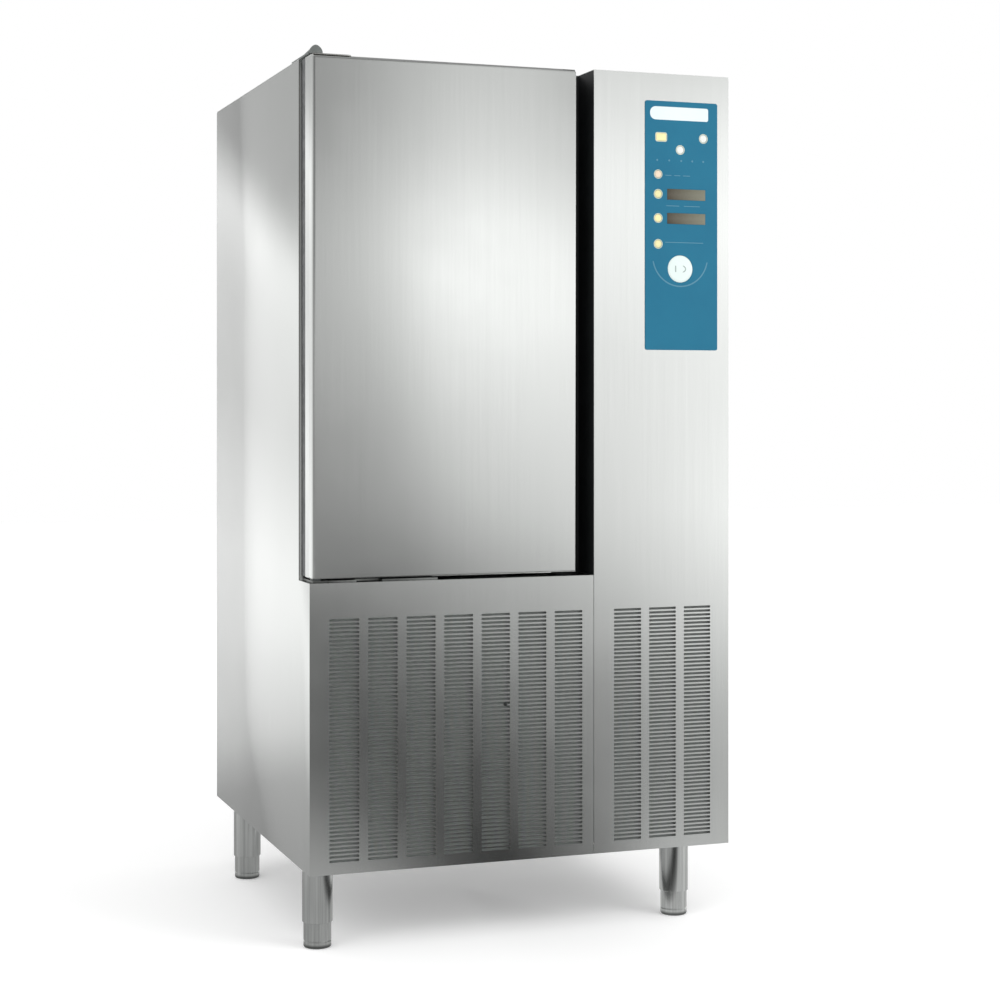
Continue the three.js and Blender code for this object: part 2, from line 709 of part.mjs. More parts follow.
const lowerBushTop = door.z0 + pinLength + 3;
add('lower_hinge_bush', cut(
  join(
    bar('z', [hinge.x, hinge.y, door.z0 - 1], lowerBushTop - door.z0 + 1, bushRadius),
    bar('z', [hinge.x, hinge.y, lowerPlateTop + gap], door.z0 - lowerPlateTop - 2 * gap, bushFlange),
  ),
  bushBore(lowerPlateTop, lowerBushTop - 2),
), ...greyPlastic);

// ---------- tray racks ----------
const deflectorX = opening.x1 + deflectorOffset;
const rackPost = 12;
const ledgeSheet = 1.5;
const ledgeLip = 12;
const postSetback = 40;
const rackFrontY = cavity.y0 + rackFrontSpace;
const rackBackY = cavity.y1 - rackBackSpace;
const rackLevels = fitting(cavity.z1 - cavity.z0 - rackFirst - rackHeadroom, ledgeLip, rackPitch);
const rackSide = (outer, towards) => {
  const inner = outer + towards * rackPost;
  const ledgeEnd = outer + towards * ledgeReach;
  const pieces = [rackFrontY + postSetback, rackBackY - postSetback - rackPost].map((y) => box(
    ...inOrder(outer, inner), y, y + rackPost, cavity.z0 + 8, cavity.z1 - 20,
  ));
  const root = inner - towards;
  const lip = inner + towards * ledgeSheet;
  for (let level = 0; level < rackLevels; level += 1) {
    const z = cavity.z0 + rackFirst + level * rackPitch;
    const ledge = polygon([
      [outer, z], [ledgeEnd, z], [ledgeEnd, z + ledgeSheet], [lip, z + ledgeSheet],
      [lip, z + ledgeLip], [root, z + ledgeLip], [root, z + ledgeSheet], [outer, z + ledgeSheet],
    ]);
    pieces.push(prism('y', rackFrontY, rackBackY - rackFrontY, ledge));
  }
  return join(...pieces);
};
add('rack_left', rackSide(cavity.x0 + gap, 1), ...steel);
add('rack_right', rackSide(deflectorX - gap, -1), ...steel);

// ---------- evaporator and its fans ----------
const motorGap = 4;
const shaftSocket = 22;
const shaftEngagement = 14;
const shaftRadius = 4;
const fanLocal = (radius, hubRadius, hubLength) => {
  const pieces = [
    bar('z', [0, 0, 0], hubLength, hubRadius, 20),
    bar('z', [0, 0, hubLength - 1], motorGap + shaftEngagement + 1, shaftRadius, 10),
  ];
  for (let i = 0; i < bladeCount; i += 1) {
    const chord = radius * 0.55;
    const outline = new THREE.Shape();
    outline.moveTo(hubRadius - 4, -chord * 0.28);
    outline.lineTo(radius * 0.9, -chord * 0.5);
    outline.quadraticCurveTo(radius * 0.995, 0, radius * 0.9, chord * 0.42);
    outline.lineTo(hubRadius - 4, chord * 0.28);
    outline.closePath();
    const blade = new THREE.ExtrudeGeometry(outline, { depth: 2, bevelEnabled: false, curveSegments: 4 });
    blade.translate(0, 0, -1);
    blade.rotateX(THREE.MathUtils.degToRad(28));
    blade.translate(0, 0, hubLength / 2);
    blade.rotateZ((2 * Math.PI * i) / bladeCount);
    pieces.push(blade);
  }
  return join(...pieces);
};
const motorLocal = (radius, length, armRadius, reach) => {
  const armWidth = 14;
  const armSheet = 2;
  const pieces = [bar('z', [0, 0, 0], length, radius, 24)];
  for (const turned of [false, true]) {
    const bars = [
      box(-armRadius, armRadius, -armWidth / 2, armWidth / 2, length / 2, length / 2 + armSheet),
      box(-armRadius, armSheet - armRadius, -armWidth / 2, armWidth / 2, -reach, length / 2 + armSheet),
      box(armRadius - armSheet, armRadius, -armWidth / 2, armWidth / 2, -reach, length / 2 + armSheet),
    ];
    bars.forEach((piece) => { if (turned) piece.rotateZ(Math.PI / 2); });
    pieces.push(...bars);
  }
  return cut(join(...pieces), bar('z', [0, 0, -1], shaftSocket, shaftRadius + gap, 10));
};

const deflectorEdge = 25;
const deflector = {
  y0: cavity.y0 + deflectorEdge, y1: cavity.y1 - deflectorEdge,
  z0: cavity.z0 + deflectorEdge, z1: cavity.z1 - deflectorEdge,
};
const fanY = (deflector.y0 + deflector.y1) / 2;
const quarterHeight = (deflector.z1 - deflector.z0) / 4;
const fanHeights = { upper: deflector.z1 - quarterHeight, lower: deflector.z0 + quarterHeight };
const deflectorFlange = 40;
const deflectorFoot = 24;
const fanHoleRadius = evaporatorFanRadius + fanTipClearance;
add('fan_deflector', join(
  slab(
    'x', deflectorX, sheet,
    rectangle(deflector.y0, deflector.y1, deflector.z0, deflector.z1),
    Object.values(fanHeights).map((z) => disc(fanY, z, fanHoleRadius)), 14,
  ),
  box(
    deflectorX, deflectorX + deflectorFlange, deflector.y0, deflector.y0 + sheet,
    deflector.z0, deflector.z1,
  ),
  box(
    deflectorX, deflectorX + deflectorFlange, deflector.y1 - sheet, deflector.y1,
    deflector.z0, deflector.z1,
  ),
  ...[deflector.y0, deflector.y1 - deflectorFoot].flatMap((y) => [
    box(deflectorX, deflectorX + deflectorFoot, y, y + deflectorFoot, cavity.z0 + gap, deflector.z0 + 2),
    box(deflectorX, deflectorX + deflectorFoot, y, y + deflectorFoot, deflector.z1 - 2, cavity.z1 - gap),
  ]),
), ...steel);
const hubRadius = 30;
const hubLength = 26;
const fanSetback = 14;
const armSetback = 10;           // motor arms outside the fan's ring
const evaporatorFanX = deflectorX + sheet + fanSetback;
const motorRadius = 42;
const motorLength = 62;
for (const [place, z] of Object.entries(fanHeights)) {
  const fanGroup = new THREE.Group();
  fanGroup.position.set(evaporatorFanX, fanY, z);
  fanGroup.rotation.set(0, Math.PI / 2, 0);
  object.add(fanGroup);
  add(`evaporator_fan_${place}`, fanLocal(evaporatorFanRadius, hubRadius, hubLength), ...aluminium, fanGroup);
  const motorGroup = new THREE.Group();
  motorGroup.position.set(0, 0, hubLength + motorGap);
  fanGroup.add(motorGroup);
  const reach = fanSetback + hubLength + motorGap - gap;
  add(
    `evaporator_motor_${place}`,
    motorLocal(motorRadius, motorLength, fanHoleRadius + armSetback, reach), ...motorBlack, motorGroup,
  );
}

const coilEndSpace = 112.5;      // for the return bends
const coil = {
  x0: evaporatorFanX + hubLength + motorGap + motorLength + 20, x1: cavity.x1 - 12,
  y0: cavity.y0 + coilEndSpace, y1: cavity.y1 - coilEndSpace, z0: cavity.z0 + 55, z1: cavity.z1 - 60,
};
const returnBend = (x, y, z, radius, span) => {
  const path = new THREE.CatmullRomCurve3([
    new THREE.Vector3(x, y + 2, z), new THREE.Vector3(x, y - span * 0.55, z),
    new THREE.Vector3(x, y - span, z + span / 2),
    new THREE.Vector3(x, y - span * 0.55, z + span), new THREE.Vector3(x, y + 2, z + span),
  ]);
  const section = new THREE.Shape().absarc(0, 0, radius, 0, 2 * Math.PI);
  return new THREE.ExtrudeGeometry(section, { steps: 6, extrudePath: path, curveSegments: 3 });
};
const evaporatorBend = { first: 90, pitch: 150, span: 40, radius: 6 };
const condenserBend = { first: 50, pitch: 105, span: 26, radius: 5 };
const bendHeadroom = 20;
const bendLevels = (bend, height) => Array.from(
  { length: fitting(height - bend.first - bendHeadroom, bend.span, bend.pitch) },
  (_, i) => bend.first + i * bend.pitch,
);
const evaporatorBends = bendLevels(evaporatorBend, coil.z1 - coil.z0).map((level) => returnBend(
  (coil.x0 + coil.x1) / 2, coil.y0, coil.z0 + level, evaporatorBend.radius, evaporatorBend.span,
));
const coilPlateEdge = 8;
// A round socket whose flats stand `gap` clear of the pipe in it.
const socketSides = 12;
const socket = (axis, at, depth, radius) => bar(
  axis, at, depth, (radius + gap) / Math.cos(Math.PI / socketSides), socketSides,
);
const stubDepth = 12;
const brazeDepth = 8;
const lineStub = (at, radius) => bar('z', [...at, coil.z0 - stubDepth], 2 * stubDepth, radius + 5, 14);
const coilSocket = (at, radius) => socket('z', [...at, coil.z0 - stubDepth - 1], brazeDepth + 2, radius);
const coilFoot = (x, y) => box(x - 12, x + 12, y - 12, y + 12, cavity.z0 + gap, coil.z0 + 1);
const dripTray = {
  x0: coil.x0 - coilPlateEdge, x1: coil.x1 + coilPlateEdge, z0: cavity.z0 + gap, z1: cavity.z0 + gap + 4,
};
const dripUpstand = { thickness: 2, height: 30 };
add('evaporator_coil', cut(
  join(
    box(coil.x0, coil.x1, coil.y0, coil.y1, coil.z0, coil.z1),
    box(
      coil.x0 - coilPlateEdge, coil.x1 + coilPlateEdge, coil.y0 - 2, coil.y0 + 1,
      coil.z0 - coilPlateEdge, coil.z1 + coilPlateEdge,
    ),
    box(
      coil.x0 - coilPlateEdge, coil.x1 + coilPlateEdge, coil.y1 - 1, coil.y1 + 2,
      coil.z0 - coilPlateEdge, coil.z1 + coilPlateEdge,
    ),
    lineStub(suctionAt, suctionRadius), lineStub(liquidAt, liquidRadius),
    ...[coil.x0 + 14, coil.x1 - 14].flatMap((x) => [coilFoot(x, coil.y0 + 20), coilFoot(x, coil.y1 - 20)]),
    box(dripTray.x0, dripTray.x1, coil.y0, coil.y1, dripTray.z0, dripTray.z1),
    box(
      dripTray.x1 - dripUpstand.thickness, dripTray.x1, coil.y0, coil.y1,
      dripTray.z0, dripTray.z0 + dripUpstand.height,
    ),
    ...evaporatorBends,
  ),
  coilSocket(suctionAt, suctionRadius), coilSocket(liquidAt, liquidRadius),
  pipeHole(suctionAt, suctionRadius, dripTray.z0, dripTray.z1),
  pipeHole(liquidAt, liquidRadius, dripTray.z0, dripTray.z1),
), ...aluminium);

// ---------- condensing unit ----------
const condenser = {
  x0: left + 66, x1: lowerRight - 17, y0: face + 22, y1: face + 82,
  z0: under + frameHeight + 8, z1: cabinetFloor - 62,
};
const condenserMiddle = [(condenser.x0 + condenser.x1) / 2, (condenser.z0 + condenser.z1) / 2];
const condenserOut = [condenser.x1 - 20, condenser.y1 - 14, condenser.z0 + 25];
const condenserFoot = under + frameSheet + gap;
const condenserBends = bendLevels(condenserBend, condenser.z1 - condenser.z0).map(
  (level) => returnBend(0, 0, 0, condenserBend.radius, condenserBend.span)
    .rotateZ(-Math.PI / 2)
    .translate(condenser.x0, (condenser.y0 + condenser.y1) / 2, condenser.z0 + level),
);
add('condenser_coil', cut(
  join(
    box(condenser.x0, condenser.x1, condenser.y0, condenser.y1, condenser.z0, condenser.z1),
    ...[condenser.x0 - 2, condenser.x1 - 1].map((x) => box(
      x, x + 3, condenser.y0 - 6, condenser.y1, condenserFoot, condenser.z1 + 6,
    )),
    ...condenserBends,
  ),
  socket('y', condenserOut, 20, liquidRadius),
), ...aluminium);

const shroudDepth = 46;
const shroudBack = condenser.y1 + gap + shroudDepth;
const fanRingRadius = condenserFanRadius + fanTipClearance;
const pipeSlot = box(
  condenserOut[0] - 12, condenserOut[0] + 12, condenser.y1, shroudBack + 2,
  condenser.z0 - 5, condenserOut[2] + 12,
);
add('condenser_shroud', cut(
  box(condenser.x0, condenser.x1, condenser.y1 + gap, shroudBack, condenser.z0, condenser.z1),
  box(
    condenser.x0 + sheet, condenser.x1 - sheet, condenser.y1, shroudBack - sheet,
    condenser.z0 + sheet, condenser.z1 - sheet,
  ),
  bar('y', [condenserMiddle[0], shroudBack - 5, condenserMiddle[1]], 10, fanRingRadius, 48),
  pipeSlot,
), ...zinc);

const condenserFanSetback = 12;
const condenserFanGroup = new THREE.Group();
condenserFanGroup.position.set(condenserMiddle[0], shroudBack + condenserFanSetback, condenserMiddle[1]);
condenserFanGroup.rotation.set(-Math.PI / 2, 0, 0);
object.add(condenserFanGroup);
const condenserHub = { radius: 36, length: 34 };
const condenserMotor = { radius: 48, length: 84 };
add(
  'condenser_fan', fanLocal(condenserFanRadius, condenserHub.radius, condenserHub.length),
  ...aluminium, condenserFanGroup,
);
const condenserMotorGroup = new THREE.Group();
condenserMotorGroup.position.set(0, 0, condenserHub.length + motorGap);
condenserFanGroup.add(condenserMotorGroup);
add('condenser_motor', motorLocal(
  condenserMotor.radius, condenserMotor.length, fanRingRadius + armSetback,
  condenserHub.length + motorGap + condenserFanSetback - gap,
), ...motorBlack, condenserMotorGroup);

const potRadius = 108;
const potFoot = under + frameSheet + gap;
const potProfile = [
  [0, 22], [70, 24], [98, 40], [potRadius, 66], [potRadius, 250], [100, 282], [72, 304], [30, 314], [0, 315],
].map(([r, z]) => new THREE.Vector2(r, z));
const pot = new THREE.LatheGeometry(potProfile, 22).rotateX(Math.PI / 2);
pot.translate(compressorAt[0], compressorAt[1], potFoot);
const potFeet = { x: 95, y: 24, height: 26, radius: 14 };
const compressorFeet = [[-1, -1], [1, -1], [-1, 1], [1, 1]].map(([sx, sy]) => bar(
  'z', [compressorAt[0] + sx * potFeet.x, compressorAt[1] + sy * potFeet.y, potFoot],
  potFeet.height, potFeet.radius, 12,
));
const potPlate = box(
  compressorAt[0] - potFeet.x - 17, compressorAt[0] + potFeet.x + 17,
  compressorAt[1] - 40, compressorAt[1] + 40, potFoot + 22, potFoot + 27,
);
const potTerminals = box(
  compressorAt[0] - 45, compressorAt[0] + 45,
  compressorAt[1] + potRadius - 20, compressorAt[1] + potRadius + 42, potFoot + 120, potFoot + 210,
);
const suctionPort = [compressorAt[0] + potRadius - 3, compressorAt[1], potFoot + 220];
const dischargePort = [compressorAt[0], compressorAt[1] - potRadius + 3, potFoot + 180];
add('compressor', cut(
  join(
    pot, ...compressorFeet, potPlate, potTerminals,
    bar('x', suctionPort, 28, suctionRadius + 4, 16),
    bar('y', [dischargePort[0], dischargePort[1] - 26, dischargePort[2]], 28, liquidRadius + 5, 16),
  ),
  socket('x', [suctionPort[0] + 14, suctionPort[1], suctionPort[2]], 20, suctionRadius),
), ...motorBlack);

const lineTop = coil.z0 - stubDepth + brazeDepth;
add('suction_line', tube([
  [...suctionAt, lineTop],
  [...suctionAt, suctionPort[2]],
  [suctionPort[0] + 20, suctionPort[1], suctionPort[2]],
], suctionRadius, 45, 16), ...copper);

const receiver = { x: condenserOut[0], y: liquidAt[1], radius: 55, z0: potFoot, height: 260 };
const receiverProfile = [
  [0, 0], [40, 4], [receiver.radius, 22], [receiver.radius, receiver.height - 22],
  [40, receiver.height - 4], [0, receiver.height],
].map(([r, z]) => new THREE.Vector2(r, z));
const receiverTank = new THREE.LatheGeometry(receiverProfile, 20).rotateX(Math.PI / 2);
receiverTank.translate(receiver.x, receiver.y, receiver.z0);
const drierZ = cabinetFloor - 140;
const drierRadius = 22;
const drierLength = 110;
add('liquid_line', join(
  receiverTank,
  bar(
    'y', [condenserOut[0], condenserOut[1] + 4, condenserOut[2]],
    receiver.y - condenserOut[1] - 40, liquidRadius, 8,
  ),
  tube([
    [receiver.x, receiver.y, receiver.z0 + receiver.height - 8],
    [receiver.x, receiver.y, drierZ],
    [liquidAt[0], receiver.y, drierZ],
    [...liquidAt, lineTop],
  ], liquidRadius, 25, 22),
  bar('x', [receiver.x + 35, receiver.y, drierZ], drierLength, drierRadius, 16),
), ...copper);

const relay = {
  x0: inRight - 241, x1: inRight - 16, y0: face + 98, y1: face + 213,
  z0: under + frameHeight + 10, z1: cabinetFloor - 70,
};
const relayLid = 8;
const relayFoot = 34;
add('electrical_box', join(
  box(relay.x0, relay.x1, relay.y0 + relayLid, relay.y1, relay.z0, relay.z1),
  box(relay.x0 + 4, relay.x1 - 4, relay.y0, relay.y0 + relayLid + 1, relay.z0 + 4, relay.z1 - 4),
  ...[relay.y0 + relayLid, relay.y1 - relayFoot].map((y) => box(
    relay.x1 - relayFoot, relay.x1, y, y + relayFoot, under + frameSheet + gap, relay.z0 + 1,
  )),
), 0x9b9f9e, 0.5, 0);

export default object;
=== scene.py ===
# Blast chiller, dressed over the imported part: metres, +Z up, front towards -Y.
import bmesh
import bpy
import json
import math
from mathutils import Matrix, Vector


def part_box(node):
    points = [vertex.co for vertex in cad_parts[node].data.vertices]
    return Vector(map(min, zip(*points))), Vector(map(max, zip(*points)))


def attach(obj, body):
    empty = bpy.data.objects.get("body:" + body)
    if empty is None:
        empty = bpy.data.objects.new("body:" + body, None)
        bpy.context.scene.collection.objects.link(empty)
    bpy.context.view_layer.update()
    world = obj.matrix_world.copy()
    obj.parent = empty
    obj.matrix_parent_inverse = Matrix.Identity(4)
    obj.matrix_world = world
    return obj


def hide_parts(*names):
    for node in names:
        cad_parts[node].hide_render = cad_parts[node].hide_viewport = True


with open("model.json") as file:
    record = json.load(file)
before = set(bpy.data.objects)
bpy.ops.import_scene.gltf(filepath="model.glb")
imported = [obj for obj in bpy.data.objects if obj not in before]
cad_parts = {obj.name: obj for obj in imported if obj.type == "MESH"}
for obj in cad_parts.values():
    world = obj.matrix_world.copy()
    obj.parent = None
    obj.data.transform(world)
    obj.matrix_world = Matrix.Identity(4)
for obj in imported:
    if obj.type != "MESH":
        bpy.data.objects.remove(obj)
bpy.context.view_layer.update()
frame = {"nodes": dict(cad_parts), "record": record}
xAxis, yAxis, zAxis = Vector((1, 0, 0)), Vector((0, 1, 0)), Vector((0, 0, 1))


# Modelling helpers: each works on one piece and leaves Object mode again.
def clearSelection():
    if bpy.context.mode != "OBJECT":
        bpy.ops.object.mode_set(mode="OBJECT")
    bpy.ops.object.select_all(action="DESELECT")


def makeActive(piece):
    clearSelection()
    piece.select_set(True)
    bpy.context.view_layer.objects.active = piece


def settle(name):
    piece = bpy.context.object
    piece.name = name
    piece.data.name = name
    bpy.ops.object.transform_apply(location=True, rotation=True, scale=True)
    return piece


def addBlock(name, low, high):
    clearSelection()
    low, high = Vector(low), Vector(high)
    bpy.ops.mesh.primitive_cube_add(size=1, location=(low + high) / 2, scale=high - low)
    return settle(name)


def turnTo(along, across):
    return Matrix((along, across, along.cross(across))).transposed().to_euler()


def addRod(name, start, axis, length, radius, sides=48):
    clearSelection()
    across = xAxis if axis != xAxis else yAxis
    bpy.ops.mesh.primitive_cone_add(
        vertices=sides, radius1=radius, radius2=radius, depth=length,
        location=Vector(start) + axis * length / 2, rotation=turnTo(across, axis.cross(across)))
    return settle(name)


def addPlate(name, corner, along, across):
    # a flat plate from one corner and its two sides; it faces along cross across
    clearSelection()
    along, across = Vector(along), Vector(across)
    bpy.ops.mesh.primitive_plane_add(
        size=1, location=Vector(corner) + (along + across) / 2,
        rotation=turnTo(along.normalized(), across.normalized()))
    bpy.context.object.scale = (along.length, across.length, 1)
    return settle(name)


def addRing(name, middle, axis, radius, wire, sides, wireSides):
    clearSelection()
    across = xAxis if axis != xAxis else yAxis
    bpy.ops.mesh.primitive_torus_add(
        major_radius=radius, minor_radius=wire, major_segments=sides, minor_segments=wireSides,
        location=middle, rotation=turnTo(across, axis.cross(across)))
    return settle(name)


def pick(piece, kind, test):
    # selects verts by their place, edges by middle and direction, faces by middle and normal
    makeActive(piece)
    bpy.ops.object.mode_set(mode="EDIT")
    bpy.ops.mesh.select_mode(type=kind)
    bpy.ops.mesh.select_all(action="DESELECT")
    mesh = bmesh.from_edit_mesh(piece.data)
    if kind == "VERT":
        found = [v for v in mesh.verts if test(v.co)]
    elif kind == "EDGE":
        found = [e for e in mesh.edges
                 if test((e.verts[0].co + e.verts[1].co) / 2, (e.verts[0].co - e.verts[1].co).normalized())]
    else:
        found = [f for f in mesh.faces if test(f.calc_center_median(), f.normal)]
    for item in found:
        item.select_set(True)
    mesh.select_flush_mode()
    bmesh.update_edit_mesh(piece.data)
    return len(found)


def done():
    bpy.ops.object.mode_set(mode="OBJECT")


def editAll(piece):
    makeActive(piece)
    bpy.ops.object.mode_set(mode="EDIT")
    bpy.ops.mesh.select_all(action="SELECT")


# Tests for picking: places that meet, edges that run along an axis, faces that look along one.
def near(a, b):
    return abs(a - b) < 1e-5


def runs(axis):
    return lambda m, d: abs(d.dot(axis)) > 0.9


def facing(axis):
    return lambda m, n: n.dot(axis) > 0.9


def removeFaces(piece, test):
    pick(piece, "FACE", test)
    bpy.ops.mesh.delete(type="FACE")
    done()


def bevelEdges(piece, test, width, segments=3):
    if pick(piece, "EDGE", test):
        bpy.ops.mesh.bevel(offset=width, segments=segments, profile=0.5, affect="EDGES")
    done()


def extrudeEdges(piece, test, offset):
    pick(piece, "EDGE", test)
    bpy.ops.mesh.extrude_region_move(TRANSFORM_OT_translate={"value": Vector(offset)})
    done()


def insetTo(piece, test, low, high, depth=(0, 0, 0)):
    # insets the picked face, fits the new one to a rectangle and moves it by depth
    pick(piece, "FACE", test)
    bpy.ops.mesh.inset(thickness=0.0005)  # any small inset does, as the new face is fitted next
    mesh = bmesh.from_edit_mesh(piece.data)
    spots = [v.co.copy() for f in mesh.faces if f.select for v in f.verts]
    isLow = Vector([min(s[i] for s in spots) for i in range(3)])
    isHigh = Vector([max(s[i] for s in spots) for i in range(3)])
    was, now = isHigh - isLow, Vector(high) - Vector(low)
    middle = (isLow + isHigh) / 2
    bpy.ops.transform.resize(
        value=[n / w if w > 1e-6 else 1 for n, w in zip(now, was)], center_override=middle)
    bpy.ops.transform.translate(value=(Vector(low) + Vector(high)) / 2 - middle)
    if Vector(depth).length > 0:
        bpy.ops.mesh.extrude_region_move(TRANSFORM_OT_translate={"value": Vector(depth)})
    done()


def finishWith(piece, kind, **settings):
    makeActive(piece)
    modifier = piece.modifiers.new(kind.lower(), kind)
    for key, value in settings.items():
        setattr(modifier, key, value)
    bpy.ops.object.modifier_apply(modifier=modifier.name)


def roundOff(piece, width, segments=2, angle=30):
    finishWith(piece, "BEVEL", width=width, segments=segments, limit_method="ANGLE",
               angle_limit=math.radians(angle), miter_outer="MITER_SHARP", use_clamp_overlap=True)


def thicken(piece, thickness, inward=True, even=True):
    finishWith(piece, "SOLIDIFY", thickness=thickness, offset=-1 if inward else 1,
               use_even_offset=even)


def tidyFaces(piece):
    editAll(piece)
    bpy.ops.mesh.remove_doubles(threshold=1e-6)
    bpy.ops.mesh.normals_make_consistent(inside=False)
    done()


def repeat(piece, count, step):
    finishWith(piece, "ARRAY", count=count, use_relative_offset=False, use_constant_offset=True,
               constant_offset_displace=step, use_merge_vertices=True, merge_threshold=1e-5)


def joinAll(name, pieces):
    clearSelection()
    for piece in pieces:
        piece.select_set(True)
    bpy.context.view_layer.objects.active = pieces[0]
    if len(pieces) > 1:
        bpy.ops.object.join()
    pieces[0].name = name
    pieces[0].data.name = name
    return pieces[0]


def cutWith(piece, cutters):
    cutter = joinAll("cutter", cutters)
    finishWith(piece, "BOOLEAN", operation="DIFFERENCE", solver="EXACT", object=cutter)
    bpy.data.objects.remove(cutter)


def copyPiece(source, name):
    piece = source.copy()
    piece.data = source.data.copy()
    piece.name = name
    piece.data.name = name
    bpy.context.scene.collection.objects.link(piece)
    return piece


def foldSheet(name, axis, span, points, thickness, bend):
    # a strip folded at each point, drawn square to axis and running along it over span
    u, v, run = {"x": (yAxis, zAxis, xAxis), "z": (xAxis, yAxis, zAxis)}[axis]
    spots = [u * a + v * b + run * span[0] for a, b in points]
    piece = addPlate(name, spots[0], spots[1] - spots[0], run * (span[1] - span[0]))
    half = run * (span[1] - span[0]) / 2
    for last, spot in zip(spots[1:], spots[2:]):
        extrudeEdges(piece, lambda m, d, at=last + half: (m - at).length < 1e-5, spot - last)
    folds = [spot + half for spot in spots[1:-1]]
    bevelEdges(piece, lambda m, d: any((m - fold).length < 1e-5 for fold in folds), bend, 2)
    thicken(piece, thickness)
    return piece


def drawLine(name, spots):
    # an open line of edges through the spots
    along = spots[1] - spots[0]
    line = addPlate(name, spots[0], along, along.orthogonal().normalized() * 0.001)
    pick(line, "VERT", lambda p: min((p - spots[0]).length, (p - spots[1]).length) > 1e-6)
    bpy.ops.mesh.delete(type="VERT")
    done()
    for last, spot in zip(spots[1:], spots[2:]):
        pick(line, "VERT", lambda p: (p - last).length < 1e-6)
        bpy.ops.mesh.extrude_vertices_move(TRANSFORM_OT_translate={"value": spot - last})
        done()
    return line


def turnShape(name, base, axis, profile, sides=48):
    # a profile of (radius, height) pairs spun round the axis through base
    across = yAxis if abs(axis.x) > 0.5 else xAxis
    base = Vector(base)
    piece = drawLine(name, [base + across * radius + axis * height for radius, height in profile])
    editAll(piece)
    bpy.ops.mesh.spin(steps=sides, angle=2 * math.pi, center=base, axis=axis)
    done()
    tidyFaces(piece)
    return piece


def keepSide(piece, spot, toward):
    # cuts a piece in two through spot and keeps the part that lies toward
    editAll(piece)
    bpy.ops.mesh.bisect(plane_co=spot, plane_no=toward, use_fill=True, clear_inner=True)
    done()


def camel(node):
    title = node.title().replace("_", "")
    return title[0].lower() + title[1:]


def refine(node, width, segments=2, angle=30):
    # a merged, softened copy of a part's own solid
    clearSelection()
    piece = copyPiece(frame["nodes"][node], camel(node))
    for key in list(piece.keys()):
        del piece[key]
    piece.parent = None
    editAll(piece)
    bpy.ops.mesh.remove_doubles(threshold=1e-6)
    bpy.ops.mesh.customdata_custom_splitnormals_clear()
    bpy.ops.mesh.dissolve_limited(angle_limit=math.radians(0.3))
    done()
    if width:
        roundOff(piece, width, segments, angle)
    return piece


nodeSlot = {row["node"]: row["material_slot"] for row in frame["record"]["subparts"]}
bodies = frame["record"]["behaviour"]["bodies"]
nodeBody = {node: body for body, nodes in bodies.items() for node in nodes}


def dress(piece, body, finish, slot, *nodes, smooth=32):
    makeActive(piece)
    piece.data.materials.clear()
    piece.data.materials.append(finishes[finish])
    bpy.ops.object.shade_smooth_by_angle(angle=math.radians(smooth))
    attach(piece, body)
    if nodes:
        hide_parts(*nodes)
    return piece


def standFor(piece, finish, node, smooth=32):
    # dresses a piece that takes a part's place, on that part's body
    return dress(piece, nodeBody[node], finish, nodeSlot[node], node, smooth=smooth)


def carryOver(node, finish, width, segments=2, angle=30, smooth=32):
    # a part's own shape with softened edges, in its place
    standFor(refine(node, width, segments, angle), finish, node, smooth)


def belongTo(piece, finish, node, slot=None, smooth=32):
    # dresses an extra piece carried by a part
    return dress(piece, nodeBody[node], finish, slot or nodeSlot[node], smooth=smooth)


# Camera, lamps and the white sweep.
camera = {"place": (-1.4304, -4.2341, 1.0641), "turn": 19.84, "lens": 73.08, "drop": -0.0972}
bpy.ops.object.camera_add(
    location=camera["place"], rotation=(math.pi / 2, 0, -math.radians(camera["turn"])))
bpy.context.scene.camera = bpy.context.object
bpy.context.object.data.lens = camera["lens"]
bpy.context.object.data.shift_y = camera["drop"]
bpy.context.scene.view_settings.view_transform = "Standard"


def link(tree, value, socket):
    # joins another node's output to a socket, or sets a plain number or colour on it
    if isinstance(value, bpy.types.NodeSocket):
        tree.links.new(value, socket)
    elif value is not None:
        socket.default_value = (*value, 1) if isinstance(value, tuple) else value


def addNode(tree, kind, **settings):
    node = tree.nodes.new(kind)
    for key, value in settings.items():
        setattr(node, key, value)
    return node


def mathNode(tree, operation, a, b=None, clamp=False):
    node = addNode(tree, "ShaderNodeMath", operation=operation, use_clamp=clamp)
    for socket, value in zip(node.inputs, (a, b)):
        link(tree, value, socket)
    return node.outputs[0]


def rampNode(tree, source, stops):
    node = addNode(tree, "ShaderNodeValToRGB")
    while len(node.color_ramp.elements) < len(stops):
        node.color_ramp.elements.new(0.5)
    for element, (at, value) in zip(node.color_ramp.elements, stops):
        element.position = at
        element.color = (*value, 1) if isinstance(value, tuple) else (value, value, value, 1)
    link(tree, source, node.inputs[0])
    return node.outputs[0]


def seenDirectly(tree):
    path = addNode(tree, "ShaderNodeLightPath")
    seen = mathNode(tree, "ADD", path.outputs["Is Camera Ray"], path.outputs["Is Glossy Ray"])
    return mathNode(tree, "ADD", seen, path.outputs["Is Transmission Ray"], clamp=True)


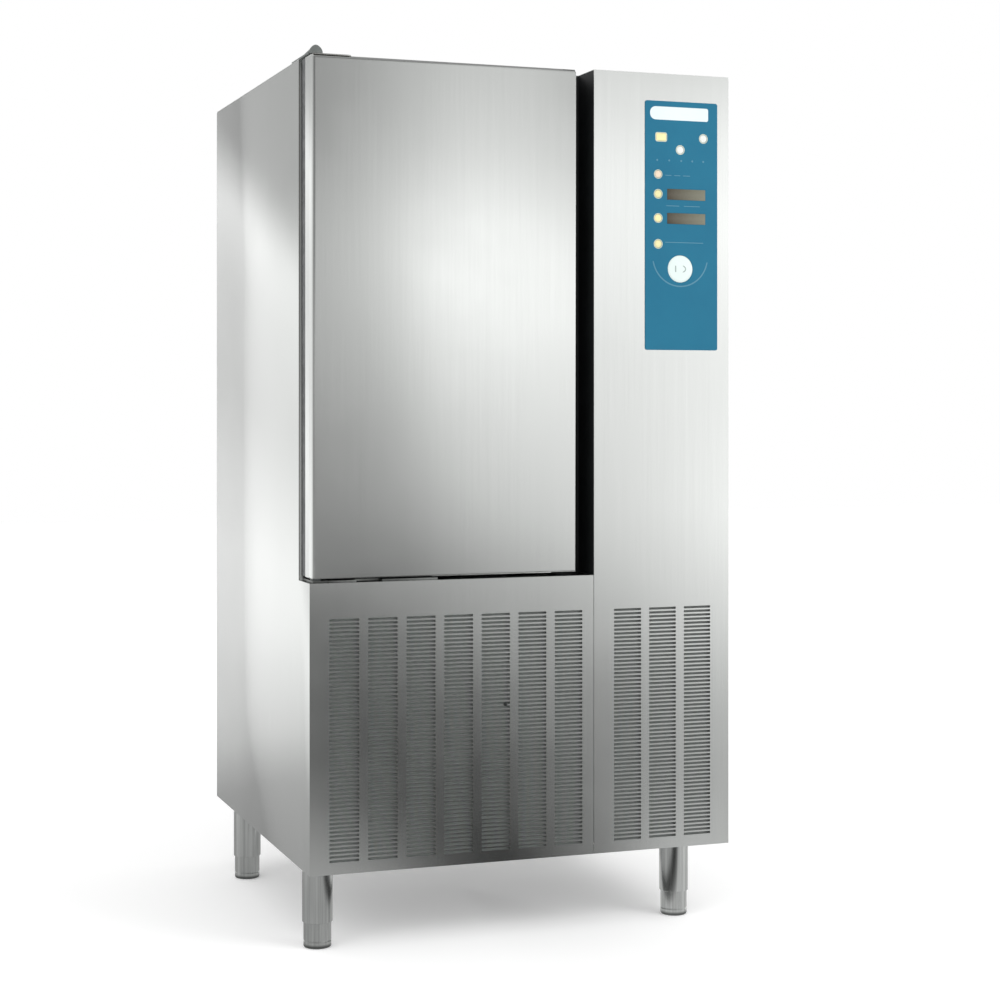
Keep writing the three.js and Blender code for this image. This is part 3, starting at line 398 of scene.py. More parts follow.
studio = {
    "roomLight": 0.85, "floorLift": 0.26, "wallRadius": 6.0, "wallFoot": 0.0, "wallHeight": 6.0,
    # The ramps hold half of each level. Round the room 0 and 1 are behind, 0.5 is the front and 0.55 the front
    # right; up the wall and out over the ground they run from 0 to 1, as the reaches do.
    "highAround": [(0.0, 0.3), (0.3, 0.2), (0.5, 0.3), (0.525, 0.44), (0.537, 1.0), (0.55, 0.92), (0.564, 0.67),
                   (0.58, 0.95)],
    "lowAround": [(0.0, 0.4), (0.5, 0.05), (0.528, 0.07), (0.547, 0.23), (0.563, 0.45), (0.58, 1.0)],
    "topAround": [(0.0, 0.3), (0.5, 0.3), (0.525, 0.46), (0.537, 1.0), (0.55, 0.97), (0.557, 0.86),
                  (0.564, 0.42), (0.58, 0.84)],
    "lowReach": 0.22, "topFrom": 0.34, "topReach": 0.43,
    "frontUp": [(0.0, 0.5), (0.03, 0.56), (0.07, 0.88), (0.19, 0.63), (0.25, 0.69), (0.32, 0.93), (0.38, 1.0),
                (0.44, 0.52), (1.0, 0.25)],
    "behindUp": [(0.0, 0.58), (0.06, 0.62), (0.2, 0.46), (0.31, 0.52), (0.37, 0.66), (0.43, 0.27), (1.0, 0.25)],
    "frontPart": [(0.0, 0.0), (0.2, 0.0), (0.35, 1.0), (0.8, 1.0), (0.9, 0.0)],
    "groundAround": [(0.0, 0.6), (0.47, 0.75), (0.5, 0.14), (0.527, 0.01), (0.55, 0.19), (0.563, 0.35),
                     (0.582, 1.0)],
    "frontOut": [(0.0, 0.3), (0.2, 0.31), (0.3, 0.27), (0.46, 0.24), (0.62, 0.36), (0.8, 0.48), (1.0, 0.54)],
    "behindOut": [(0.0, 0.17), (0.2, 0.24), (0.32, 0.4), (0.45, 0.46), (0.82, 0.56), (1.0, 0.58)],
    "ceilingLevel": 0.35, "floorSide": 28, "lampsAim": (0, 0, 0.9),
    "keyLamp": {"place": (2.6, -3.4, 3.2), "size": 2.4, "watts": 60},
    "fillLamp": {"place": (-3.4, -2.2, 2.4), "size": 2.6, "watts": 30},
}
world = bpy.data.worlds.new("studio")
bpy.context.scene.world = world
world.use_nodes = True
tree = world.node_tree
background = tree.nodes["Background"]
link(tree, (1, 1, 1), background.inputs["Color"])
strength = mathNode(tree, "MULTIPLY", seenDirectly(tree), 1 - studio["roomLight"])
link(tree, mathNode(tree, "ADD", strength, studio["roomLight"]), background.inputs["Strength"])

for name in ("keyLamp", "fillLamp"):
    lamp = studio[name]
    place = Vector(lamp["place"])
    aim = (Vector(studio["lampsAim"]) - place).to_track_quat("-Z", "Y").to_euler()
    bpy.ops.object.light_add(type="AREA", location=place, rotation=aim)
    bpy.context.object.visible_glossy = False
    light = bpy.context.object.data
    light.shape, light.size, light.energy = "SQUARE", lamp["size"], lamp["watts"]
print("studio ready")


# Shader node groups: each gives out values only.
def startGroup(name, inputs, outputs):
    group = bpy.data.node_groups.new(name, "ShaderNodeTree")
    for label, kind, value in inputs:
        socket = group.interface.new_socket(name=label, in_out="INPUT", socket_type=kind)
        socket.default_value = value
    for label, kind in outputs:
        group.interface.new_socket(name=label, in_out="OUTPUT", socket_type=kind)
    return group, addNode(group, "NodeGroupInput").outputs, addNode(group, "NodeGroupOutput").inputs


def noiseNode(tree, vector, scale, detail=2.0, rough=0.5):
    node = addNode(tree, "ShaderNodeTexNoise")
    for key, value in (("Vector", vector), ("Scale", scale), ("Detail", detail), ("Roughness", rough)):
        link(tree, value, node.inputs[key])
    return node.outputs[0]


def rangeNode(tree, source, fromLow, fromHigh, toLow=0, toHigh=1):
    node = addNode(tree, "ShaderNodeMapRange")
    values = {"Value": source, "From Min": fromLow, "From Max": fromHigh, "To Min": toLow, "To Max": toHigh}
    for key, value in values.items():
        link(tree, value, node.inputs[key])
    return node.outputs[0]


def weigh(tree, first, second, part):
    # a part of the first and the rest of the second
    return mathNode(tree, "ADD", mathNode(tree, "MULTIPLY", first, part),
                    mathNode(tree, "MULTIPLY", second, 1 - part))


def objectPoint(tree):
    return addNode(tree, "ShaderNodeTexCoord").outputs["Object"]


def splitPoint(tree):
    split = addNode(tree, "ShaderNodeSeparateXYZ")
    link(tree, objectPoint(tree), split.inputs[0])
    return split.outputs


def buildBrushGroup():
    # drawn lines: fine and coarse streaks that run along the axis with the small stretch
    group, given, wanted = startGroup("brushLines", [
        ("Stretch", "NodeSocketVector", (700, 700, 6)), ("Strength", "NodeSocketFloat", 1)],
        [("Streak", "NodeSocketFloat"), ("Height", "NodeSocketFloat"), ("Cloud", "NodeSocketFloat")])
    point = objectPoint(group)
    stretched = addNode(group, "ShaderNodeVectorMath", operation="MULTIPLY")
    link(group, point, stretched.inputs[0])
    link(group, given["Stretch"], stretched.inputs[1])
    fine = noiseNode(group, stretched.outputs[0], 1, 3, 0.6)
    coarse = noiseNode(group, stretched.outputs[0], 0.16, 2, 0.5)
    both = weigh(group, fine, coarse, 0.65)
    centred = mathNode(group, "MULTIPLY", mathNode(group, "SUBTRACT", both, 0.5), given["Strength"])
    link(group, mathNode(group, "ADD", centred, 0.5), wanted["Streak"])
    link(group, both, wanted["Height"])
    link(group, noiseNode(group, point, 3.2, 3, 0.55), wanted["Cloud"])
    return group


def buildSpeckGroup():
    # fine even texture, as of moulded plastic or powder paint, and slow patches
    group, given, wanted = startGroup("speckTexture", [
        ("Scale", "NodeSocketFloat", 900), ("Patch Scale", "NodeSocketFloat", 14)],
        [("Speck", "NodeSocketFloat"), ("Patch", "NodeSocketFloat")])
    point = objectPoint(group)
    link(group, noiseNode(group, point, given["Scale"], 2, 0.55), wanted["Speck"])
    link(group, noiseNode(group, point, given["Patch Scale"], 4, 0.6), wanted["Patch"])
    return group


def buildEdgeGroup():
    # rubbed edges, broken up by noise
    group, given, wanted = startGroup("edgeRub", [
        ("Reach", "NodeSocketFloat", 0.54), ("Scale", "NodeSocketFloat", 60)],
        [("Rub", "NodeSocketFloat")])
    sharp = addNode(group, "ShaderNodeNewGeometry").outputs["Pointiness"]
    edge = rangeNode(group, sharp, given["Reach"], mathNode(group, "ADD", given["Reach"], 0.08))
    broken = rangeNode(group, noiseNode(group, objectPoint(group), given["Scale"], 3, 0.6), 0.4, 0.62)
    link(group, mathNode(group, "MULTIPLY", edge, broken, clamp=True), wanted["Rub"])
    return group


def buildDustGroup():
    # faint dust that lies low and in patches
    group, given, wanted = startGroup("settledDust", [
        ("Level", "NodeSocketFloat", 0.2), ("Fade", "NodeSocketFloat", 0.3)],
        [("Dust", "NodeSocketFloat")])
    top = mathNode(group, "ADD", given["Level"], given["Fade"])
    low = rangeNode(group, splitPoint(group)["Z"], given["Level"], top, 1, 0)
    patch = rangeNode(group, noiseNode(group, objectPoint(group), 9, 5, 0.62), 0.38, 0.7, 0.15, 1)
    link(group, mathNode(group, "MULTIPLY", low, patch, clamp=True), wanted["Dust"])
    return group


groups = {
    "brush": buildBrushGroup(), "speck": buildSpeckGroup(), "edge": buildEdgeGroup(), "dust": buildDustGroup(),
}
noiseSpan = (0.3, 0.7)  # where nearly all values of a noise lie


def useGroup(tree, name, **values):
    node = addNode(tree, "ShaderNodeGroup", node_tree=groups[name])
    for key, value in values.items():
        node.inputs[key.replace("_", " ")].default_value = value
    return node.outputs


def mixColour(tree, amount, first, second):
    node = addNode(tree, "ShaderNodeMix", data_type="RGBA")
    for key, value in (("Factor", amount), ("A", first), ("B", second)):
        link(tree, value, node.inputs[key])
    return node.outputs["Result"]


def startFinish(name, **fixed):
    finish = bpy.data.materials.new(name)
    finish.use_nodes = True
    tree = finish.node_tree
    shader = tree.nodes["Principled BSDF"]
    for key, value in fixed.items():
        shader.inputs[key.replace("_", " ")].default_value = value
    return finish, tree, shader.inputs


def endFinish(tree, inputs, colour, roughness, height=None, strength=0, distance=0):
    link(tree, colour, inputs["Base Color"])
    link(tree, roughness, inputs["Roughness"])
    if height is not None:
        bump = addNode(tree, "ShaderNodeBump")
        for key, value in (("Strength", strength), ("Distance", distance), ("Height", height)):
            link(tree, value, bump.inputs[key])
        link(tree, bump.outputs["Normal"], inputs["Normal"])


def steelFinish(name, light, dark, stretch, roughness, grainAndBands=0.5, soleShadeHeight=None):
    # brushed stainless steel, its lines along the axis with the small stretch; below the given height it
    # darkens to near black as a painted contact shadow
    finish, tree, inputs = startFinish(name, Metallic=1)
    # a high strength, as on the legs, paints reflection bands along with the brush lines
    lines = useGroup(tree, "brush", Stretch=stretch, Strength=grainAndBands)
    tone = weigh(tree, lines["Cloud"], lines["Streak"], 0.3)
    metal = mixColour(tree, rangeNode(tree, tone, *noiseSpan), dark, light)
    if soleShadeHeight:
        # painted contact shadow: near black at the foot, fading out by the given height
        low = rangeNode(tree, splitPoint(tree)["Z"], soleShadeHeight * 0.5, soleShadeHeight, 0.8, 0)
        metal = mixColour(tree, low, metal, (0.04, 0.045, 0.042))
    rough = rangeNode(tree, lines["Cloud"], *noiseSpan, roughness - 0.03, roughness + 0.035)
    endFinish(tree, inputs, metal, rough, lines["Height"], 0.05, 0.0002)
    return finish


def galvanisedFinish(name, light, dark, roughness):
    # zinc spangle under a little dust
    finish, tree, inputs = startFinish(name, Metallic=1)
    spangle = addNode(tree, "ShaderNodeTexVoronoi")
    spangle.inputs["Scale"].default_value = 95
    link(tree, objectPoint(tree), spangle.inputs["Vector"])
    shade = addNode(tree, "ShaderNodeSeparateColor")
    link(tree, spangle.outputs["Color"], shade.inputs[0])
    speck = useGroup(tree, "speck", Scale=420, Patch_Scale=11)
    dust = useGroup(tree, "dust", Level=0.12, Fade=0.4)
    tone = weigh(tree, shade.outputs[0], speck["Patch"], 0.55)
    metal = mixColour(tree, rangeNode(tree, tone, 0.2, 0.8), dark, light)
    dusty = mixColour(tree, mathNode(tree, "MULTIPLY", dust["Dust"], 0.35), metal, (0.3, 0.28, 0.25))
    rough = rangeNode(tree, shade.outputs[1], 0, 1, roughness - 0.08, roughness + 0.1)
    endFinish(tree, inputs, dusty, rough, speck["Speck"], 0.1, 0.0002)
    return finish


def plasticFinish(name, colour, shadow, roughness, speck=900, bump=0.12, rub=0.25, rubColour=(0.3, 0.3, 0.3)):
    # moulded plastic, rubber or powder paint, with fine texture and rubbed edges
    finish, tree, inputs = startFinish(name)
    texture = useGroup(tree, "speck", Scale=speck, Patch_Scale=12)
    edge = useGroup(tree, "edge", Reach=0.55, Scale=80)
    body = mixColour(tree, rangeNode(tree, texture["Patch"], *noiseSpan), shadow, colour)
    rubbed = mixColour(tree, mathNode(tree, "MULTIPLY", edge["Rub"], rub), body, rubColour)
    rough = rangeNode(tree, texture["Patch"], *noiseSpan, roughness + 0.05, roughness - 0.04)
    endFinish(tree, inputs, rubbed, rough, texture["Speck"], bump, 0.0003)
    return finish


def castFinish(name, colour, shadow, roughness, scale):
    # drawn or cast bare metal with darker patches and bright edges
    finish, tree, inputs = startFinish(name, Metallic=1)
    texture = useGroup(tree, "speck", Scale=scale, Patch_Scale=16)
    edge = useGroup(tree, "edge", Reach=0.54, Scale=120)
    body = mixColour(tree, rangeNode(tree, texture["Patch"], 0.32, 0.68), shadow, colour)
    bright = tuple(min(1, c * 1.25) for c in colour)
    rubbed = mixColour(tree, mathNode(tree, "MULTIPLY", edge["Rub"], 0.5), body, bright)
    rough = rangeNode(tree, texture["Speck"], *noiseSpan, roughness - 0.05, roughness + 0.07)
    endFinish(tree, inputs, rubbed, rough, texture["Speck"], 0.08, 0.0002)
    return finish


def enamelFinish(name, colour, shadow, roughness):
    # sprayed enamel with a clear gloss, rubbed edges and dust low down
    finish, tree, inputs = startFinish(name, Coat_Roughness=0.25)
    texture = useGroup(tree, "speck", Scale=320, Patch_Scale=9)
    dust = useGroup(tree, "dust", Level=0.15, Fade=0.5)
    edge = useGroup(tree, "edge", Reach=0.55, Scale=70)
    body = mixColour(tree, rangeNode(tree, texture["Patch"], *noiseSpan), shadow, colour)
    worn = mixColour(tree, mathNode(tree, "MULTIPLY", edge["Rub"], 0.35), body, (0.24, 0.24, 0.24))
    dusty = mixColour(tree, mathNode(tree, "MULTIPLY", dust["Dust"], 0.4), worn, (0.16, 0.15, 0.14))
    rough = rangeNode(tree, dust["Dust"], 0, 1, roughness, roughness + 0.25)
    link(tree, rangeNode(tree, dust["Dust"], 0, 1, 0.5, 0.05), inputs["Coat Weight"])
    endFinish(tree, inputs, dusty, rough, texture["Speck"], 0.1, 0.0004)
    return finish


def foamFinish(name):
    # rigid foam with fine cells
    finish, tree, inputs = startFinish(name)
    cells = addNode(tree, "ShaderNodeTexVoronoi", feature="DISTANCE_TO_EDGE")
    cells.inputs["Scale"].default_value = 700
    link(tree, objectPoint(tree), cells.inputs["Vector"])
    texture = useGroup(tree, "speck", Scale=200, Patch_Scale=7)
    colour = mixColour(tree, texture["Patch"], (0.62, 0.5, 0.22), (0.78, 0.68, 0.38))
    endFinish(tree, inputs, colour, 0.95, cells.outputs["Distance"], 0.5, 0.001)
    return finish


def boardFinish(name):
    # green lacquered board with paler tracks
    finish, tree, inputs = startFinish(name, Coat_Weight=0.4, Coat_Roughness=0.2)
    tracks = addNode(tree, "ShaderNodeTexBrick")
    for key, value in (("Scale", 60), ("Mortar Size", 0.03), ("Brick Width", 0.9), ("Row Height", 0.22)):
        tracks.inputs[key].default_value = value
    swap = addNode(tree, "ShaderNodeMapping")
    swap.inputs["Rotation"].default_value = (math.pi / 2, 0, 0)
    link(tree, objectPoint(tree), swap.inputs["Vector"])
    link(tree, swap.outputs[0], tracks.inputs["Vector"])
    texture = useGroup(tree, "speck", Scale=500, Patch_Scale=30)
    base = mixColour(tree, texture["Patch"], (0.006, 0.07, 0.03), (0.012, 0.11, 0.05))
    drawn = mixColour(tree, mathNode(tree, "MULTIPLY", tracks.outputs["Fac"], 0.6), base, (0.05, 0.26, 0.11))
    endFinish(tree, inputs, drawn, 0.42, tracks.outputs["Fac"], 0.2, 0.0001)
    return finish


def weaveFinish(name, wire, gap, pitch):
    # a fine woven screen: crossed wires with dark gaps between them
    finish, tree, inputs = startFinish(name)
    point, waves = splitPoint(tree), []
    for axis in ("X", "Z"):
        angle = mathNode(tree, "MULTIPLY", point[axis], 2 * math.pi / pitch)
        waves.append(mathNode(tree, "ABSOLUTE", mathNode(tree, "SINE", angle)))
    crossing = mathNode(tree, "MAXIMUM", *waves)
    texture = useGroup(tree, "speck", Scale=120, Patch_Scale=6)
    colour = mixColour(tree, rangeNode(tree, crossing, 0.6, 0.9), gap, wire)
    rough = rangeNode(tree, texture["Patch"], *noiseSpan, 0.5, 0.7)
    endFinish(tree, inputs, colour, rough, crossing, 0.4, 0.0005)
    return finish


def filmFinish(name, colour, shadow, fixed={}):
    # printed film: even ink under a clear satin face
    finish, tree, inputs = startFinish(name, **fixed)
    texture = useGroup(tree, "speck", Scale=1500, Patch_Scale=8)
    ink = mixColour(tree, rangeNode(tree, texture["Patch"], 0.35, 0.65), shadow, colour)
    rough = rangeNode(tree, texture["Speck"], *noiseSpan, 0.3, 0.4)
    endFinish(tree, inputs, ink, rough, texture["Speck"], 0.06, 0.0001)
    return finish


def windowFinish(name, left, right, span):
    # smoked window, lighter towards the right end of its span as a painted reflection
    finish, tree, inputs = startFinish(name, Coat_Weight=0.3, Coat_Roughness=0.15, Specular_IOR_Level=0.3)
    texture = useGroup(tree, "speck", Scale=900, Patch_Scale=20)
    wander = mathNode(tree, "MULTIPLY", mathNode(tree, "SUBTRACT", texture["Patch"], 0.5), 0.3)
    # painted reflection: the tint brightens from the first colour to the second across the span
    across = mathNode(tree, "ADD", rangeNode(tree, splitPoint(tree)["X"], *span), wander, clamp=True)
    rough = rangeNode(tree, texture["Speck"], *noiseSpan, 0.25, 0.32)
    endFinish(tree, inputs, mixColour(tree, across, left, right), rough)
    return finish


# One row for each finish: its light and dark colour, then what its maker asks for.
panelSteel = ((0.75, 0.765, 0.75), (0.66, 0.675, 0.66))
keyGloss = {"Coat_Weight": 0.4, "Coat_Roughness": 0.3}
finishRows = {
    steelFinish: {
        "steelUpright": (*panelSteel, (650, 650, 5), 0.22),
        "steelLevel": (*panelSteel, (5, 650, 650), 0.24),
        "linerSteel": ((0.72, 0.73, 0.72), (0.6, 0.61, 0.6), (220, 220, 8), 0.34, 0.4),
        # legSteel and footMetal: the wide spread from light to dark and the strong grain paint reflection bands
        # round the tubes, on top of their brush lines
        "legSteel": ((0.84, 0.855, 0.84), (0.36, 0.375, 0.365), (110, 110, 2), 0.15, 1.2),
        # footMetal's last value is the height of its painted sole shadow
        "footMetal": ((0.8, 0.815, 0.8), (0.34, 0.355, 0.345), (110, 110, 4), 0.17, 1.2, 0.009),
    },
    galvanisedFinish: {"galvanised": ((0.62, 0.64, 0.63), (0.4, 0.42, 0.41), 0.45)},
    plasticFinish: {
        "hingeGrey": ((0.17, 0.185, 0.178), (0.11, 0.12, 0.115), 0.42, 900, 0.12, 0.35),
        "blackPlastic": ((0.014, 0.016, 0.017), (0.008, 0.009, 0.01), 0.45, 900, 0.12, 0.3, (0.09, 0.09, 0.09)),
        "greyNylon": ((0.09, 0.1, 0.1), (0.05, 0.055, 0.055), 0.5),
        "sealRubber": ((0.12, 0.126, 0.13), (0.075, 0.08, 0.082), 0.68, 500, 0.2),
        "chipBlack": ((0.02, 0.02, 0.021), (0.013, 0.013, 0.014), 0.4),
        "relayWhite": ((0.6, 0.6, 0.57), (0.5, 0.5, 0.47), 0.4),
    },
    castFinish: {
        "zincScrew": ((0.62, 0.62, 0.6), (0.42, 0.42, 0.4), 0.34, 700),
        "finAluminium": ((0.72, 0.73, 0.74), (0.5, 0.51, 0.52), 0.42, 500),
        "fanMetal": ((0.66, 0.67, 0.68), (0.5, 0.51, 0.52), 0.36, 380),
        "wireChrome": ((0.78, 0.79, 0.79), (0.62, 0.63, 0.63), 0.2, 300),
        "copperTube": ((0.78, 0.36, 0.2), (0.48, 0.2, 0.12), 0.32, 240),
        # shadedLowerHingeZinc: the screw zinc at about half its brightness, as painted shade for the hinge
        # under the door
        "shadedLowerHingeZinc": ((0.3, 0.31, 0.3), (0.2, 0.21, 0.2), 0.42, 300),
    },
    enamelFinish: {
        "motorEnamel": ((0.022, 0.024, 0.026), (0.014, 0.015, 0.016), 0.42),
        "compressorEnamel": ((0.014, 0.015, 0.016), (0.008, 0.009, 0.01), 0.36),
        "receiverEnamel": ((0.03, 0.06, 0.1), (0.02, 0.04, 0.07), 0.4),
        "boxPaint": ((0.4, 0.42, 0.42), (0.33, 0.35, 0.35), 0.45),
    },
    foamFinish: {"foam": ()},
    boardFinish: {"board": ()},
    weaveFinish: {"filterMesh": ((0.4, 0.43, 0.415), (0.16, 0.172, 0.165), 0.0026)},
    # displaySmoke: the brighter second colour at the right is a painted reflection
    windowFinish: {"displaySmoke": ((0.075, 0.062, 0.045), (0.19, 0.19, 0.14), (0.307, 0.394))},
    filmFinish: {
        "fasciaBlue": ((0.008, 0.155, 0.262), (0.006, 0.14, 0.245), {"Specular_IOR_Level": 0.3}),
        "printPale": ((0.78, 0.86, 0.87), (0.74, 0.83, 0.84)),
        "printBlue": ((0.075, 0.24, 0.34), (0.065, 0.22, 0.32)),
        "printRing": ((0.6, 0.64, 0.52), (0.55, 0.6, 0.48)),
        "printGrey": ((0.36, 0.42, 0.41), (0.32, 0.38, 0.37)),
        "keyCream": ((0.95, 0.84, 0.44), (0.9, 0.78, 0.38), keyGloss),
        "keyYellow": ((0.85, 0.79, 0.42), (0.78, 0.73, 0.38), keyGloss),
        "keyPeach": ((0.88, 0.72, 0.56), (0.82, 0.66, 0.5), keyGloss),
        "keyWhite": ((0.82, 0.84, 0.8), (0.76, 0.79, 0.75), keyGloss),
        "keyPale": ((0.76, 0.86, 0.83), (0.72, 0.83, 0.8), keyGloss),
    },
}
finishes = {name: make(name, *row) for make, rows in finishRows.items() for name, row in rows.items()}
print("finishes ready:", len(finishes))


# Floor, and a room that only the reflections see: its levels are the studio's ramps.
def ringAngle(tree, point):
    forward = mathNode(tree, "MULTIPLY", point["Y"], -1)
    turn = mathNode(tree, "ARCTAN2", point["X"], forward)
    return mathNode(tree, "ADD", mathNode(tree, "MULTIPLY", turn, 0.5 / math.pi), 0.5)


def mixValue(tree, amount, first, second):
    node = addNode(tree, "ShaderNodeMix", data_type="FLOAT")
    for source, target in ((amount, 0), (first, 2), (second, 3)):
        link(tree, source, node.inputs[target])
    return node.outputs[0]


def startGlow(name):
    finish = bpy.data.materials.new(name)
    finish.use_nodes = True
    tree = finish.node_tree
    tree.nodes.clear()
    glow = addNode(tree, "ShaderNodeEmission")
    link(tree, glow.outputs[0], addNode(tree, "ShaderNodeOutputMaterial").inputs["Surface"])
    return finish, tree, splitPoint(tree), glow.inputs["Strength"]


def onlyReflected(piece, finish):
    piece.data.materials.append(finish)
    for ray in ("camera", "diffuse", "transmission", "volume_scatter", "shadow"):
        setattr(piece, "visible_" + ray, False)


def makeStudio():
    side, reach, foot, rise = (studio[name] for name in ("floorSide", "wallRadius", "wallFoot", "wallHeight"))
    floor = addPlate("floor", (-side / 2, -side / 2, 0), (side, 0, 0), (0, side, 0))
    finish, tree, inputs = startFinish("paleFloor", Roughness=0.9)
    link(tree, (0.9, 0.9, 0.9), inputs["Base Color"])
    link(tree, (1, 1, 1), inputs["Emission Color"])
    link(tree, mathNode(tree, "MULTIPLY", seenDirectly(tree), studio["floorLift"]), inputs["Emission Strength"])
    floor.data.materials.append(finish)

    def ramp(source, name):
        return rampNode(tree, source, studio[name])

    def shareOut(front, behind):
        # the front's level in the front part of the room and the rear's behind, brought to full level
        level = mixValue(tree, ramp(around, "frontPart"), behind, front)
        link(tree, mathNode(tree, "MULTIPLY", level, 2), strength)

    wall = addRod("wall", (0, 0, foot), zAxis, rise, reach, sides=96)
    removeFaces(wall, lambda m, n: abs(n.z) > 0.9)
    finish, tree, point, strength = startGlow("wallGlow")
    height = rangeNode(tree, point["Z"], foot, foot + rise)
    around = ringAngle(tree, point)
    spread = mixValue(tree, rangeNode(tree, height, 0, studio["lowReach"]),
                      ramp(around, "lowAround"), ramp(around, "highAround"))
    spread = mixValue(tree, rangeNode(tree, height, studio["topFrom"], studio["topReach"]),
                      spread, ramp(around, "topAround"))
    shareOut(mathNode(tree, "MULTIPLY", ramp(height, "frontUp"), spread), ramp(height, "behindUp"))
    onlyReflected(wall, finish)

    ground = addRod("ground", (0, 0, 0.001), zAxis, 0.001, reach, sides=96)
    removeFaces(ground, lambda m, n: n.z < 0.9)
    finish, tree, point, strength = startGlow("groundGlow")
    far = addNode(tree, "ShaderNodeVectorMath", operation="LENGTH")
    link(tree, objectPoint(tree), far.inputs[0])
    out = rangeNode(tree, far.outputs["Value"], 0, reach)
    around = ringAngle(tree, point)
    spread = ramp(around, "groundAround")
    shareOut(mathNode(tree, "MULTIPLY", ramp(out, "frontOut"), spread), ramp(out, "behindOut"))
    onlyReflected(ground, finish)

    ceiling = addPlate("ceiling", (-reach, -reach, rise), (0, 2 * reach, 0), (2 * reach, 0, 0))
    finish, tree, point, strength = startGlow("ceilingGlow")
    strength.default_value = studio["ceilingLevel"]
    onlyReflected(ceiling, finish)

makeStudio()
print("stage ready")


# Fasteners: one of each is modelled and the rest are copies, each turned a little further.
screw = {"radius": 0.0042, "rise": 0.0019, "shank": 0.003, "slot": (0.62, 0.13), "slotDepth": 0.35, "turn": 0.7}


def makeScrew(name, rise):
    # a screw without rise has a flush head
    radius, shank, rim = screw["radius"], screw["shank"], rise * 0.45
    piece = turnShape(name, (0, 0, 0), zAxis, [
        (0, -shank), (radius * 0.5, -shank), (radius * 0.5, -0.0006), (radius, 0 if rise else -0.0002),
        (radius, rim), (radius * 0.72, rim + (rise - rim) * 0.75), (radius * 0.3, rise), (0, rise)], 20)
    floor = rise - radius * screw["slotDepth"]
    for x, y in (screw["slot"], reversed(screw["slot"])):
        slot = addBlock("slot", (-radius * x, -radius * y, floor), (radius * x, radius * y, rise + 0.001))
        cutWith(piece, [slot])
    return piece


def stamp(master, name, places):
    # joined copies of a piece, each moved by its own matrix
    copies = []
    for place in places:
        piece = copyPiece(master, name)
        makeActive(piece)
        piece.matrix_world = place
        copies.append(settle(name))
    return joinAll(name, copies)


def placeCopies(master, name, places, axis):
    # copies of a piece drawn along +Z at the origin, pointed along axis
    aim = zAxis.rotation_difference(axis).to_matrix().to_4x4()
    return stamp(master, name, [
        Matrix.Translation(place) @ aim @ Matrix.Rotation(screw["turn"] * number, 4, "Z")
        for number, place in enumerate(places)])


panScrew = makeScrew("panScrew", screw["rise"])
flushScrew = makeScrew("flushScrew", 0)

# Outer sheets.
shell = {
    "sheet": 0.0012, "edge": 0.0004, "screwIn": 0.018, "screwHole": 0.0045, "screwSink": 0.0002,
    "topX": (-0.15, 0.15), "topY": (-0.39, -0.12, 0.15), "rearX": (-0.21, 0.0, 0.21),
    "rearZ": (0.72, 0.96, 1.21, 1.46, 1.71),
}
rearVent = {
    "columns": 4, "columnPitch": 0.22375, "width": 0.15, "rows": 7, "pitch": 0.06,
    "sheet": 0.0009, "fold": 0.001,
    "blade": ((-0.0016, 0.0235), (-0.0045, 0.0225), (-0.0135, 0.003)),
}


def foldedPanel(name, corner, along, across, *extras):
    # a flat sheet with strips drawn out of picked edges, then given its thickness
    sheet = addPlate(name, corner, along, across)
    for test, offset in extras:
        extrudeEdges(sheet, test, offset)
    thicken(sheet, shell["sheet"])
    roundOff(sheet, shell["edge"])
    return sheet


